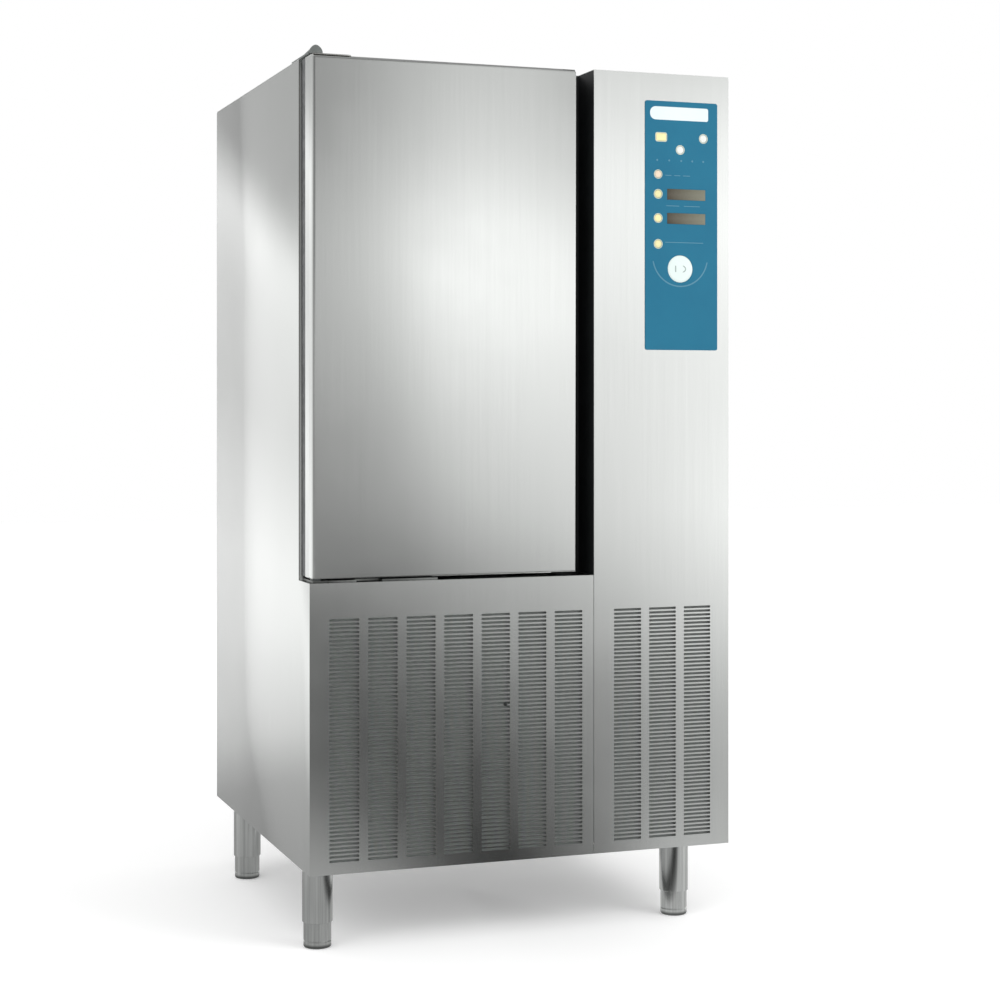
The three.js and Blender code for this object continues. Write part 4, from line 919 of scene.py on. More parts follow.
def makeShell():
    low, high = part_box("left_side_panel")
    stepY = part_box("door_frame")[1].y - shell["sheet"]
    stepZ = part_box("lower_front_panel")[1].z
    side = foldedPanel(
        "leftSidePanel", (low.x, stepY, stepZ), (0, 0, high.z - stepZ), (0, high.y - stepY, 0),
        (lambda m, d: near(m.z, stepZ), (0, 0, low.z - stepZ)),
        (lambda m, d: near(m.y, stepY) and m.z < stepZ - 0.01, (0, low.y - stepY, 0)))
    standFor(side, "steelUpright", "left_side_panel")
    low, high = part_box("right_side_panel")
    side = foldedPanel("rightSidePanel", (high.x, low.y, low.z), (0, high.y - low.y, 0), (0, 0, high.z - low.z))
    standFor(side, "steelUpright", "right_side_panel")

    low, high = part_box("top_panel")
    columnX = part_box("column_front_panel")[0].x
    lid = foldedPanel(
        "topPanel", (columnX, stepY, high.z), (high.x - columnX, 0, 0), (0, high.y - stepY, 0),
        (lambda m, d: near(m.x, columnX), (low.x - columnX, 0, 0)),
        (lambda m, d: near(m.y, stepY) and m.x > columnX + 0.01, (0, low.y - stepY, 0)))
    standFor(lid, "steelLevel", "top_panel")
    inset = shell["screwIn"]
    left, right = low.x + inset, high.x - inset
    places = [(x, high.y - inset, high.z) for x in (left, *shell["topX"], right)]
    places += [(right, y, high.z) for y in shell["topY"]] + [(left, y, high.z) for y in shell["topY"][1:]]
    belongTo(placeCopies(panScrew, "topScrews", places, zAxis), "zincScrew", "rear_panel")

    low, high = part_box("rear_panel")
    back = addPlate("rearPanel", (low.x, high.y, low.z), (0, 0, high.z - low.z), (high.x - low.x, 0, 0))
    thicken(back, shell["sheet"])
    places = [(x, high.y, z) for x in (low.x + inset, high.x - inset) for z in shell["rearZ"]]
    places += [(x, high.y, z) for x in shell["rearX"] for z in (shell["rearZ"][0], shell["rearZ"][-1])]
    radius = shell["screwHole"]
    cutWith(back, [addRod("hole", (x, y - 0.01, z), yAxis, 0.02, radius, sides=20) for x, y, z in places])
    roundOff(back, shell["edge"], 1)
    standFor(back, "galvanised", "rear_panel")
    places = [(x, y - shell["screwSink"], z) for x, y, z in places]
    belongTo(placeCopies(flushScrew, "rearScrews", places, yAxis), "zincScrew", "rear_panel")

    carryOver("rear_grille", "galvanised", shell["edge"], 1)
    low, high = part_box("rear_grille")
    width, pitch = rearVent["width"], rearVent["columnPitch"]
    blades = []
    for column in range(rearVent["columns"]):
        firstX = low.x + column * pitch + (pitch - width) / 2
        for row in range(1, rearVent["rows"] + 1):
            z = low.z + row * rearVent["pitch"]
            spots = [(high.y + out, z + up) for out, up in rearVent["blade"]]
            blades.append(foldSheet(
                "blade", "x", (firstX, firstX + width), spots, rearVent["sheet"], rearVent["fold"]))
    belongTo(joinAll("rearLouvres", blades), "galvanised", "rear_grille")
    print("shell ready")


# Keys and displays, placed as in the frame.
keys = {
    "flange": 0.002, "flangeSheet": 0.0012, "back": -0.4265, "stem": 0.0035, "bigStem": 0.009, "corner": 0.0035,
    "chill_key": "keyCream", "light_key": "keyWhite", "freeze_key": "keyWhite", "probe_key": "keyPeach",
    "temperature_key": "keyYellow", "time_key": "keyCream", "defrost_key": "keyYellow",
    "start_stop_key": "keyPale",
}
keyNames = [name for name in keys if name.endswith("_key")]
windows = {
    "y": (-0.434, -0.424), "spans": [((0.3074, 1.4815), (0.3935, 1.5035)), ((0.3074, 1.432), (0.3935, 1.454))],
}


def keyShape(name):
    low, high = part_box(name)
    size = (high - low) / 2 - Vector((keys["flange"], 0, keys["flange"]))
    return (low + high) / 2, size, low.y


def controlCutters(margin):
    cutters = []
    for name in keyNames:
        middle, size, tip = keyShape(name)
        if name == "chill_key":
            reach = Vector((size.x + margin, 0.006, size.z + margin))
            middle.y = tip
            block = addBlock("hole", middle - reach, middle + reach)
            bevelEdges(block, runs(yAxis), keys["corner"], 4)
            cutters.append(block)
        else:
            start = (middle.x, tip - 0.004, middle.z)
            cutters.append(addRod("hole", start, yAxis, 0.012, size.x + margin, sides=40))
    front, back = windows["y"]
    for (x0, z0), (x1, z1) in windows["spans"]:
        cutters.append(addBlock("hole", (x0 - margin, front, z0 - margin), (x1 + margin, back, z1 + margin)))
    return cutters


def makeKeys():
    back, flange, sheet = keys["back"], keys["flange"], keys["flangeSheet"]
    for name in keyNames:
        middle, size, tip = keyShape(name)
        depth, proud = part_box(name)[1].y - back, back - tip
        title = camel(name)
        stem = keys["bigStem"] if name == "start_stop_key" else keys["stem"]
        if name == "chill_key":
            piece = addBlock(title, (middle.x - size.x, tip, middle.z - size.z),
                             (middle.x + size.x, back, middle.z + size.z))
            bevelEdges(piece, runs(yAxis), keys["corner"], 4)
            bevelEdges(piece, lambda m, d: near(m.y, tip), 0.0009, 3)
            centre = Vector((middle.x, back, middle.z))
            for halfX, halfZ, far in ((size.x + flange, size.z + flange, sheet), (stem, stem, depth - sheet)):
                reach = Vector((halfX, 0, halfZ))
                insetTo(piece, lambda m, n: n.y > 0.9 and m.y > centre.y - 1e-5,
                        centre - reach, centre + reach, (0, far, 0))
                centre.y += far
            tidyFaces(piece)
        else:
            r = size.x
            piece = turnShape(title, (middle.x, back, middle.z), -yAxis, [
                (0, -depth), (stem, -depth), (stem, -sheet), (r + flange, -sheet), (r + flange, 0), (r, 0),
                (r, proud - 0.0014), (r - 0.0002, proud - 0.001), (r - 0.0008, proud - 0.0006),
                (r * 0.8, proud - 0.0003), (r * 0.5, proud - 0.0001), (0, proud)], 64)
        standFor(piece, keys[name], name)
    print("keys ready")


# Control fascia: a film with holes, and thin generic marks printed on it.
fascia = {
    "corner": 0.0045, "ink": 0.00006, "band": ((0.269, 1.645), (0.400, 1.672)), "bandEnds": (0.0125, 0.004),
    "lamps": (0.285, 0.312, 0.339, 0.364, 0.389), "lampZ": 1.562, "lampRadius": 0.0021,
    "dashes": [(0.303, 1.5305, 0.014), (0.323, 1.5305, 0.014), (0.343, 1.5305, 0.016),
               (0.305, 1.468, 0.03), (0.345, 1.468, 0.036), (0.303, 1.393, 0.086)],
    "dashHeight": 0.0016, "arc": (0.0605, 0.0632), "arcRise": 0.026, "arcEnds": 0.0147,
    "ringGap": 0.0003, "ring": 0.0016, "rectCorner": 0.0045, "startRing": (0.0046, 0.007), "startRingX": 0.006,
    "stroke": ((-0.0118, 0.00006, -0.0066), (-0.0092, 0.0002, 0.0066)),
}


def printedRing(base, inner, outer, sides=40):
    ink = fascia["ink"]
    return turnShape("mark", base, -yAxis, [
        (inner, -ink), (inner, ink), (outer, ink), (outer, -ink), (inner, -ink)], sides)


def makeFascia():
    low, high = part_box("control_fascia")
    film = addBlock("controlFascia", low, high)
    bevelEdges(film, runs(yAxis), fascia["corner"], 6)
    cutWith(film, controlCutters(0.0002))
    roundOff(film, 0.00012, 1, 60)
    standFor(film, "fasciaBlue", "control_fascia")

    ink, front = fascia["ink"], low.y
    (x0, z0), (x1, z1) = fascia["band"]
    leftEnd, rightEnd = fascia["bandEnds"]
    band = addBlock("fasciaBand", (x0, front - ink, z0), (x1, front + ink, z1))
    bevelEdges(band, lambda m, d: abs(d.y) > 0.9 and m.x < x0 + 0.001, leftEnd, 8)
    bevelEdges(band, lambda m, d: abs(d.y) > 0.9 and m.x > x1 - 0.001, rightEnd, 5)
    belongTo(band, "printPale", "control_fascia", "key_white")
    marks = []
    for x in fascia["lamps"]:
        marks.append(turnShape("mark", (x, front, fascia["lampZ"]), -yAxis, [
            (0, -ink), (fascia["lampRadius"], -ink), (fascia["lampRadius"], ink), (0, ink * 1.5)], 20))
    for x, z, width in fascia["dashes"]:
        dash = addBlock("mark", (x, front - ink, z), (x + width, front + ink, z + fascia["dashHeight"]))
        bevelEdges(dash, runs(yAxis), fascia["dashHeight"] * 0.45, 3)
        marks.append(dash)
    key = keyShape("start_stop_key")[0]
    arc = printedRing((key.x, front, key.z + fascia["arcRise"]), *fascia["arc"], 96)
    keepSide(arc, (key.x, front, key.z + fascia["arcEnds"]), -zAxis)
    belongTo(joinAll("fasciaMarks", marks + [arc]), "printBlue", "control_fascia", "key_white")

    rings = []
    for name in keyNames:
        middle, size, _ = keyShape(name)
        inner = size + Vector((1, 0, 1)) * fascia["ringGap"]
        outer = inner + Vector((1, 0, 1)) * fascia["ring"]
        spot = Vector((middle.x, front, middle.z))
        if name == "chill_key":
            plate, hole = [addBlock("mark", spot - Vector((r.x, deep, r.z)), spot + Vector((r.x, deep, r.z)))
                           for r, deep in ((outer, ink), (inner, ink * 9))]
            for block in (plate, hole):
                bevelEdges(block, runs(yAxis), fascia["rectCorner"], 4)
            cutWith(plate, [hole])
            rings.append(plate)
        elif name != "start_stop_key":
            rings.append(printedRing(spot, inner.x, outer.x))
    belongTo(joinAll("keyRings", rings), "printRing", "control_fascia", "key_white")

    face = Vector((key.x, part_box("start_stop_key")[0].y, key.z))
    ring = printedRing(face + Vector((fascia["startRingX"], ink * 2, 0)), *fascia["startRing"])
    stroke = addBlock("stroke", *[face + Vector(corner) for corner in fascia["stroke"]])
    bevelEdges(stroke, runs(yAxis), 0.0006, 3)
    belongTo(joinAll("startMark", [ring, stroke]), "printGrey", "start_stop_key")
    carryOver("display_lens", "displaySmoke", 0.0002, 2, 50)
    print("fascia ready")


# Louvred lower panels: one slot is drawn, repeated up its column and then across.
grille = {
    "slotLow": 0.173, "rows": 59, "pitch": 0.00805, "slotHeight": 0.0048, "slotEnd": 0.0012, "slotFoot": 0.0003,
    "columnWidth": 0.062, "columnPitch": 0.078, "lip": 0.0022, "lipDrop": 0.001,
    "lower": (0.0385, 7), "column": (0.043, 3),  # each panel's margin and its columns of slots
    "sill": ((-0.4435, -0.43, 0.17), (0.4435, -0.42, 0.2)),
    "seam": ((0.136, -0.4267, 0.1715), (0.156, -0.4257, 0.7145)),
}
meshFilter = {
    "x": ((-0.432, 0.136), (0.176, 0.42)), "z": (0.162, 0.66), "y": -0.4215, "rim": 0.009, "dish": 0.0015,
    "sheet": 0.002, "clip": (-0.0455, -0.4268, 0.463),
    "clipShape": ((0, 0), (0.0022, 0), (0.0022, 0.0012), (0.004, 0.0012), (0.004, 0.0018), (0.0028, 0.0026),
                  (0, 0.003)),
}


def makeGrille(node, margin, columns):
    low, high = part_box(node)
    y, z, width, pitch = low.y, grille["slotLow"], grille["columnWidth"], grille["pitch"]
    firstX = low.x + margin
    sheet = addPlate(camel(node), (firstX, y, z), (width, 0, 0), (0, 0, pitch))
    half = Vector((width / 2 - grille["slotEnd"], 0, grille["slotHeight"] / 2))
    centre = Vector((firstX + width / 2, y, z + half.z + grille["slotFoot"]))
    insetTo(sheet, lambda m, n: True, centre - half, centre + half)
    removeFaces(sheet, lambda m, n: (m - centre).length < 0.001)
    extrudeEdges(sheet, lambda m, d: max(abs(m.x - centre.x) - half.x, abs(m.z - centre.z) - half.z) < 1e-5,
                 (0, grille["lip"], -grille["lipDrop"]))
    repeat(sheet, grille["rows"], (0, 0, pitch))

    def reachOut(along, at, offset):
        # draws out the flat border edges that lie at one place along an axis
        other = zAxis if along == xAxis else xAxis
        extrudeEdges(sheet, lambda m, d: near(m.dot(along), at) and near(m.y, y) and abs(d.dot(other)) > 0.9,
                     along * offset)

    reachOut(xAxis, firstX + width, grille["columnPitch"] - width)
    repeat(sheet, columns, (grille["columnPitch"], 0, 0))
    lastX, topZ = firstX + columns * grille["columnPitch"], z + grille["rows"] * pitch
    for along, at, end in ((xAxis, lastX, high.x), (xAxis, firstX, low.x),
                           (zAxis, z, low.z), (zAxis, topZ, high.z)):
        reachOut(along, at, end - at)
    thicken(sheet, shell["sheet"])
    return sheet


def makeFilter(x0, x1):
    # a mesh filter in a pressed frame, just behind the slots
    y, rim, (z0, z1) = meshFilter["y"], meshFilter["rim"], meshFilter["z"]
    pad = addPlate("filter", (x0, y, z0), (x1 - x0, 0, 0), (0, 0, z1 - z0))
    insetTo(pad, lambda m, n: True, (x0 + rim, y, z0 + rim), (x1 - rim, y, z1 - rim),
            (0, meshFilter["dish"], 0))
    thicken(pad, meshFilter["sheet"])
    return pad


def makeFrontPanels():
    lower = makeGrille("lower_front_panel", *grille["lower"])
    standFor(lower, "steelUpright", "lower_front_panel")
    column = makeGrille("column_front_panel", *grille["column"])
    cutWith(column, controlCutters(0.0005))
    standFor(column, "steelUpright", "column_front_panel")
    filters = [makeFilter(*span) for span in meshFilter["x"]]
    belongTo(joinAll("airFilters", filters), "filterMesh", "condenser_coil")
    # a black strip behind the seam of the lower and column panels, put there as painted shade to darken the gap
    strip = addBlock("seamShadeStrip", *grille["seam"])
    roundOff(strip, 0.0003)
    belongTo(strip, "blackPlastic", "column_trim")
    clip = turnShape("filterClip", meshFilter["clip"], -yAxis, meshFilter["clipShape"], 20)
    belongTo(clip, "blackPlastic", "column_trim")
    print("front panels ready")


# Door: folded skin, grip, inner pan, seal and hinges.
door = {
    "bend": 0.007, "bendSegments": 6, "return": 0.012, "edge": 0.0012,
    "stripOver": 0.0002, "stripFront": 0.0003, "stripBack": 0.0015,
}
sealProfile = [
    (0.004, 0), (0.014, 0), (0.014, 0.0034), (0.0175, 0.0058), (0.0145, 0.0083), (0.0178, 0.0108),
    (0.0178, 0.0178), (0.0165, 0.0189), (0.0015, 0.0189), (0.0002, 0.0178), (0.0002, 0.0108), (0.0035, 0.0083),
    (0.0005, 0.0058), (0.004, 0.0034),
]


def makeSeal():
    low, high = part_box("door_gasket")
    loops = [(Vector((low.x + d, low.y + y, low.z + d)), Vector((high.x - d, low.y + y, high.z - d)))
             for d, y in sealProfile]
    (x0, y0, z0), (x1, _, z1) = loops[0]
    seal = addPlate("doorSeal", (x0, y0, z0), (x1 - x0, 0, 0), (0, 0, z1 - z0))
    centre = (low + high) / 2

    def central(m, n):
        return abs(m.x - centre.x) < 1e-4 and abs(m.z - centre.z) < 1e-4

    for first, last in loops[1:] + loops[:1]:
        insetTo(seal, central, first, last)
    removeFaces(seal, central)
    tidyFaces(seal)
    roundOff(seal, 0.0004, 2)
    standFor(seal, "sealRubber", "door_gasket", 50)


def makeDoor():
    low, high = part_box("door_skin")
    skin = addBlock("doorSkin", low, high)
    removeFaces(skin, lambda m, n: n.y > 0.9 or n.x > 0.9)
    extrudeEdges(skin, lambda m, d: near(m.x, high.x) and near(m.y, low.y) and abs(d.z) > 0.9,
                 (0, door["return"], 0))
    bevelEdges(skin, lambda m, d: near(m.y, low.y) and (m.x < low.x + 1e-4 or m.z > high.z - 1e-4),
               door["bend"], door["bendSegments"])
    roundOff(skin, door["edge"], 3, 40)
    thicken(skin, shell["sheet"], even=False)
    standFor(skin, "steelUpright", "door_skin")
    carryOver("door_grip", "blackPlastic", 0.0007)
    carryOver("door_inner_panel", "linerSteel", 0.0006)
    low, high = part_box("door_inner_panel")
    # a thin rubber sleeve round the inner pan's sides; its dark rubber also stands in for the shade in the
    # recess by the door's edge
    over = Vector((door["stripOver"], 0, door["stripOver"]))
    strip = addBlock("doorEdgeShadeStrip", low - over + Vector((0, door["stripFront"], 0)),
                     high + over - Vector((0, door["stripBack"], 0)))
    removeFaces(strip, lambda m, n: abs(n.y) > 0.9)
    thicken(strip, door["stripOver"] * 2)
    belongTo(strip, "sealRubber", "door_inner_panel", nodeSlot["door_gasket"])
    makeSeal()
    print("door ready")


hinges = {
    "plate": 0.0035, "corner": 0.008, "capRadius": 0.0135, "capBore": 0.0075, "tail": 0.085, "tailHalf": 0.0105,
    "tailRise": 0.62, "tailSlope": 0.35, "leaf": ((-0.4405, -0.4265), (-0.362, -0.384)), "leafSink": 0.0002,
    # parts of the cap's radius and of its rise
    "cap": ((1, 0), (1, 0.25), (0.93, 0.42), (0.8, 0.6), (0.6, 0.78), (0.38, 0.92), (0.15, 1), (0, 1)),
    "upperScrewY": (0.1, 0.122), "lowerScrewX": (0.014, 0.05, 0.086), "lowerScrewZ": 0.016,
}


def makeHinges():
    low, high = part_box("upper_hinge_bracket")
    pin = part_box("upper_hinge_pin")
    axis = Vector(((pin[0].x + pin[1].x) / 2, (pin[0].y + pin[1].y) / 2, low.z))
    radius, rise, sheet = hinges["capRadius"], high.z - low.z, hinges["plate"]
    plate = addBlock("upperHingePlate", (low.x, axis.y, low.z), (high.x, high.y, low.z + sheet))
    bevelEdges(plate, lambda m, d: abs(d.z) > 0.9 and m.y > high.y - 0.001, hinges["corner"], 5)
    roundOff(plate, 0.0006)
    profile = [(hinges["capBore"], 0)] + [(radius * out, rise * up) for out, up in hinges["cap"]]
    cap = turnShape("cap", axis, zAxis, profile)
    end, top = axis.y + hinges["tail"], low.z + rise * hinges["tailRise"]
    tail = addBlock("tail", (axis.x - hinges["tailHalf"], axis.y, low.z + sheet * 0.5),
                    (axis.x + hinges["tailHalf"], end, top))
    pick(tail, "EDGE", lambda m, d: m.y > end - 1e-4 and m.z > top - 1e-4)
    bpy.ops.transform.translate(value=(0, 0, -rise * hinges["tailSlope"]))
    done()
    roundOff(tail, 0.002, 3)
    standFor(joinAll("upperHinge", [plate, cap, tail]), "hingeGrey", "upper_hinge_bracket")
    (x0, y0), (x1, y1) = hinges["leaf"]
    leaf = addBlock("doorHingeLeaf", (x0, y0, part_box("door_skin")[1].z - hinges["leafSink"]),
                    (x1, y1, low.z - hinges["leafSink"]))
    bevelEdges(leaf, lambda m, d: abs(d.z) > 0.9 and m.x > x1 - 0.001, hinges["corner"], 5)
    cutWith(leaf, [addRod("bore", (axis.x, axis.y, low.z - 0.01), zAxis, 0.02, radius - 0.001)])
    roundOff(leaf, 0.0004)
    belongTo(leaf, "zincScrew", "door_skin")
    spots = [(axis.x, axis.y + y, low.z + sheet) for y in hinges["upperScrewY"]]
    belongTo(placeCopies(panScrew, "upperHingeScrews", spots, zAxis), "zincScrew", "upper_hinge_pin")

    bracket = joinAll("lowerHinge", [refine("lower_hinge_bracket", 0.0006)])
    # the lower hinge takes the darkened zinc, its dark tone painted shade
    standFor(bracket, "shadedLowerHingeZinc", "lower_hinge_bracket")
    low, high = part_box("lower_hinge_bracket")
    spots = [(low.x + x, high.y - sheet, low.z + hinges["lowerScrewZ"]) for x in hinges["lowerScrewX"]]
    belongTo(placeCopies(panScrew, "lowerHingeScrews", spots, -yAxis), "zincScrew", "lower_hinge_bracket")
    for place in ("upper", "lower"):
        carryOver(place + "_hinge_pin", "zincScrew", 0.0005)
        carryOver(place + "_hinge_bush", "greyNylon", 0.0004)
    print("hinges ready")


# Legs: a steel sleeve with a screwed foot inside it.
leg = {
    "wall": 0.0015, "rim": 0.0008, "bore": 0.012, "skirt": 0.004, "sole": 0.0035,
    "groove": 0.0125, "neck": 0.02,
}


def makeLegs():
    for place in ("front_left", "front_right", "rear_left", "rear_right"):
        name = place.title().replace("_", "")
        low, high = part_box("leg_sleeve_" + place)
        middle, radius, rise = (low + high) / 2, (high.x - low.x) / 2, high.z - low.z
        wall, rim, bore, inner = leg["wall"], leg["rim"], leg["bore"], radius - leg["wall"]
        sleeve = turnShape("legSleeve" + name, (middle.x, middle.y, low.z), zAxis, [
            (inner, leg["skirt"]), (inner, rim), (inner + rim * 0.4, 0), (radius - rim, 0), (radius, rim),
            (radius, rise - rim), (radius - rim, rise), (bore, rise), (bore, rise - wall),
            (inner, rise - wall - rim), (inner, leg["skirt"])], 64)
        standFor(sleeve, "legSteel", "leg_sleeve_" + place)
        low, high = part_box("leg_foot_" + place)
        radius, rise = (high.x - low.x) / 2, high.z - low.z
        cut, neck = leg["groove"], rise - leg["neck"]
        foot = turnShape("legFoot" + name, (middle.x, middle.y, low.z), zAxis, [
            (0, 0.0008), (radius - 0.006, 0.0008), (radius - 0.005, 0), (radius - 0.0035, 0),
            (radius - 0.001, 0.0012), (radius, leg["sole"]), (radius, cut), (radius - 0.0008, cut + 0.0008),
            (radius - 0.0008, cut + 0.0018), (radius, cut + 0.0026), (radius, neck),
            (radius - 0.001, neck + 0.001), (0.01, neck + 0.002), (0.009, rise), (0, rise)], 64)
        standFor(foot, "footMetal", "leg_foot_" + place)
    print("legs ready")


# Cold compartment.
liner = {"cove": 0.012, "sheet": 0.001, "mouthIn": 0.028, "mouthDeep": -0.285}


def makeLiner():
    # a mouth as wide as the door's, and behind it the wider tank
    low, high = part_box("cavity_liner")
    sheet, front = liner["sheet"], liner["mouthDeep"]
    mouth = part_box("column_trim")[0].x - liner["mouthIn"]
    tank = addBlock("cavityLiner", (low.x + sheet, low.y, low.z + sheet), (mouth, front, high.z - sheet))
    removeFaces(tank, facing(-yAxis))
    for test, offset in ((facing(yAxis), (0, high.y - sheet - front, 0)),
                         (lambda m, n: n.x > 0.9 and m.y > front, (high.x - sheet - mouth, 0, 0))):
        pick(tank, "FACE", test)
        bpy.ops.mesh.extrude_region_move(TRANSFORM_OT_translate={"value": Vector(offset)})
        done()
    bevelEdges(tank, lambda m, d: m.y > front + 1e-4 or (abs(d.y) > 0.9 and m.x < mouth) or m.x > mouth + 1e-4,
               liner["cove"], 4)
    thicken(tank, sheet, inward=False)
    standFor(tank, "linerSteel", "cavity_liner")
    print("liner ready")


# Fans, guards and motors.
fanShape = {
    "blades": 5, "steps": 5, "chord": 0.62, "growth": 1.1, "twist": 5, "camber": 0.004, "sheet": 0.0014,
    "hubUpper": 0.026, "hubCondenser": 0.034, "hubRadius": 0.25, "root": 0.8, "reach": 0.925, "start": 0.004,
}


def turnsAbout(middle, axis, angles):
    spot = Matrix.Translation(middle)
    return [spot @ Matrix.Rotation(angle, 4, axis) @ spot.inverted() for angle in angles]


def makeFan(node, axis):
    low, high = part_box(node)
    tip = (high.z - low.z) / 2
    upright = abs(axis.x) > 0.5
    deep = fanShape["hubUpper"] if upright else fanShape["hubCondenser"]
    centre = (low + high) / 2
    if upright:
        centre.x = low.x + fanShape["start"]
    else:
        centre.y = low.y + fanShape["start"]
    hub, reach = tip * fanShape["hubRadius"], tip * fanShape["reach"]
    root, across = hub * fanShape["root"], axis.cross(zAxis)
    chord = hub * 2 * fanShape["chord"]
    middle = centre + axis * deep / 2
    line = []
    for step in range(5):
        part = step / 4 - 0.5
        line.append(middle + zAxis * root + across * chord * part
                    + axis * (deep * 0.8 * part + fanShape["camber"] * (1 - 4 * part * part)))
    blade = drawLine("blade", line)
    rise = (reach - root) / fanShape["steps"]
    for step in range(fanShape["steps"]):
        at = root + rise * step
        pick(blade, "EDGE", lambda m, d: near(m.z - centre.z, at))
        bpy.ops.mesh.extrude_region_move(TRANSFORM_OT_translate={"value": Vector((0, 0, rise))})
        pivot = middle + zAxis * (at + rise)
        bpy.ops.transform.resize(value=(fanShape["growth"], fanShape["growth"], 1), center_override=pivot)
        bpy.ops.transform.rotate(value=math.radians(fanShape["twist"]), orient_axis="Z", center_override=pivot)
        done()
    finishWith(blade, "SUBSURF", levels=1, render_levels=1)
    thicken(blade, fanShape["sheet"])
    angles = [2 * math.pi * k / fanShape["blades"] for k in range(fanShape["blades"])]
    blades = stamp(blade, "blades", turnsAbout(middle, axis, angles))
    bpy.data.objects.remove(blade)
    shaft = abs((high - centre).dot(axis))
    core = turnShape("hub", centre, axis, [
        (0, 0), (root, 0), (hub * 0.95, 0.0015), (hub, 0.004), (hub, deep - 0.002), (hub - 0.002, deep),
        (hub - 0.006, deep - 0.001), (hub - 0.007, deep - 0.008), (0.009, deep - 0.008), (0.008, shaft - 0.001),
        (0, shaft)])
    standFor(joinAll(camel(node), [blades, core]), "fanMetal", node, 40)
    return centre


guard = {
    "rings": (0.126, 0.108, 0.09, 0.072, 0.054, 0.036), "ringWire": 0.001, "wire": 0.0012, "rod": 0.261,
    "x": 0.0705, "spokes": 4,
    "badge": ((0, -0.002), (0.0195, -0.002), (0.021, -0.001), (0.021, 0.0012), (0.018, 0.0022), (0, 0.0024)),
}
motor = {"ribs": 9, "ribStart": 0.009, "ribEnd": 0.011, "rib": (0.0002, 0.0016), "sink": 0.002}


def makeGuards():
    guards = []
    for node in ("evaporator_fan_upper", "evaporator_fan_lower"):
        low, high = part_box(node)
        middle = (low + high) / 2
        middle.x = guard["x"]
        for radius in guard["rings"]:
            guards.append(addRing("ring", middle, xAxis, radius, guard["ringWire"], 72, 6))
        foot = middle + Vector((guard["wire"] * 1.6, 0, -guard["rod"] / 2))
        rod = addRod("rod", foot, zAxis, guard["rod"], guard["wire"], sides=8)
        angles = [math.pi * (k + 0.25) / guard["spokes"] for k in range(guard["spokes"])]
        guards.append(stamp(rod, "rods", turnsAbout(middle, "X", angles)))
        bpy.data.objects.remove(rod)
        guards.append(turnShape("badge", middle, -xAxis, guard["badge"], 40))
    belongTo(joinAll("fanGuards", guards), "wireChrome", "fan_deflector")


def makeMotor(node, axis, radius, start, length):
    # the part's own motor with a ribbed band round it
    piece = refine(node, 0.0008)
    low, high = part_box(node)
    base = (low + high) / 2
    if abs(axis.x) > 0.5:
        base.x = start
    else:
        base.y = start
    inner, (valley, crest) = radius - motor["sink"], motor["rib"]
    first, last = motor["ribStart"], length - motor["ribEnd"]
    profile = [(inner, 0.008)]
    for rib in range(motor["ribs"]):
        h = first + rib * (last - first) / motor["ribs"]
        profile += [(radius + valley, h), (radius + crest, h + 0.0006), (radius + crest, h + 0.0022),
                    (radius + valley, h + 0.0028)]
    profile += [(inner, length - 0.009), (inner, 0.008)]
    ribs = turnShape("ribs", base, axis, profile)
    standFor(joinAll(camel(node), [piece, ribs]), "motorEnamel", node, 40)


def makeAirParts():
    for place in ("upper", "lower"):
        start = makeFan("evaporator_fan_" + place, xAxis)
        makeMotor("evaporator_motor_" + place, xAxis, 0.042, start.x + 0.03, 0.062)
    start = makeFan("condenser_fan", yAxis)
    makeMotor("condenser_motor", yAxis, 0.048, start.y + 0.038, 0.084)
    makeGuards()
    carryOver("fan_deflector", "linerSteel", 0.0004)
    carryOver("condenser_shroud", "galvanised", 0.0006, smooth=40)
    print("air parts ready")


# Coils: thin fins, tubes with return bends, end plates.
evaporator = {
    "title": "evaporator", "node": "evaporator_coil", "along": 1,
    "low": (0.1927, -0.1935, 0.827), "high": (0.3805, 0.2355, 1.632),
    "fins": 86, "columns": (0.213, 0.2505, 0.288, 0.3255, 0.363), "firstZ": 0.8505,
    "rowPitch": 0.04, "rows": 20, "tube": 0.0055, "tray": 0.034, "traySheet": 0.0015,
    "hangers": [(x, y) for x in (0.195, 0.362) for y in (-0.19, 0.215)], "hangerTop": 0.832,
    "hangerShape": ((0, 0.012), (0, 0), (0.016, 0)), "hangerSheet": 0.002,
}
condenser = {
    "title": "condenser", "node": "condenser_coil", "along": 0,
    "low": (-0.3815, -0.406, 0.198), "high": (0.1275, -0.346, 0.628),
    "fins": 170, "columns": (-0.391, -0.361), "firstZ": 0.213,
    "rowPitch": 0.0267, "rows": 16, "tube": 0.0048,
    "footX": (-0.37, -0.137, 0.096), "footWidth": 0.02, "foot": ((-0.396, 0.1525), (-0.356, 0.198)),
}
coilSheets = {"fin": 0.00025, "plate": 0.0015, "gap": 0.001, "flange": 0.012}


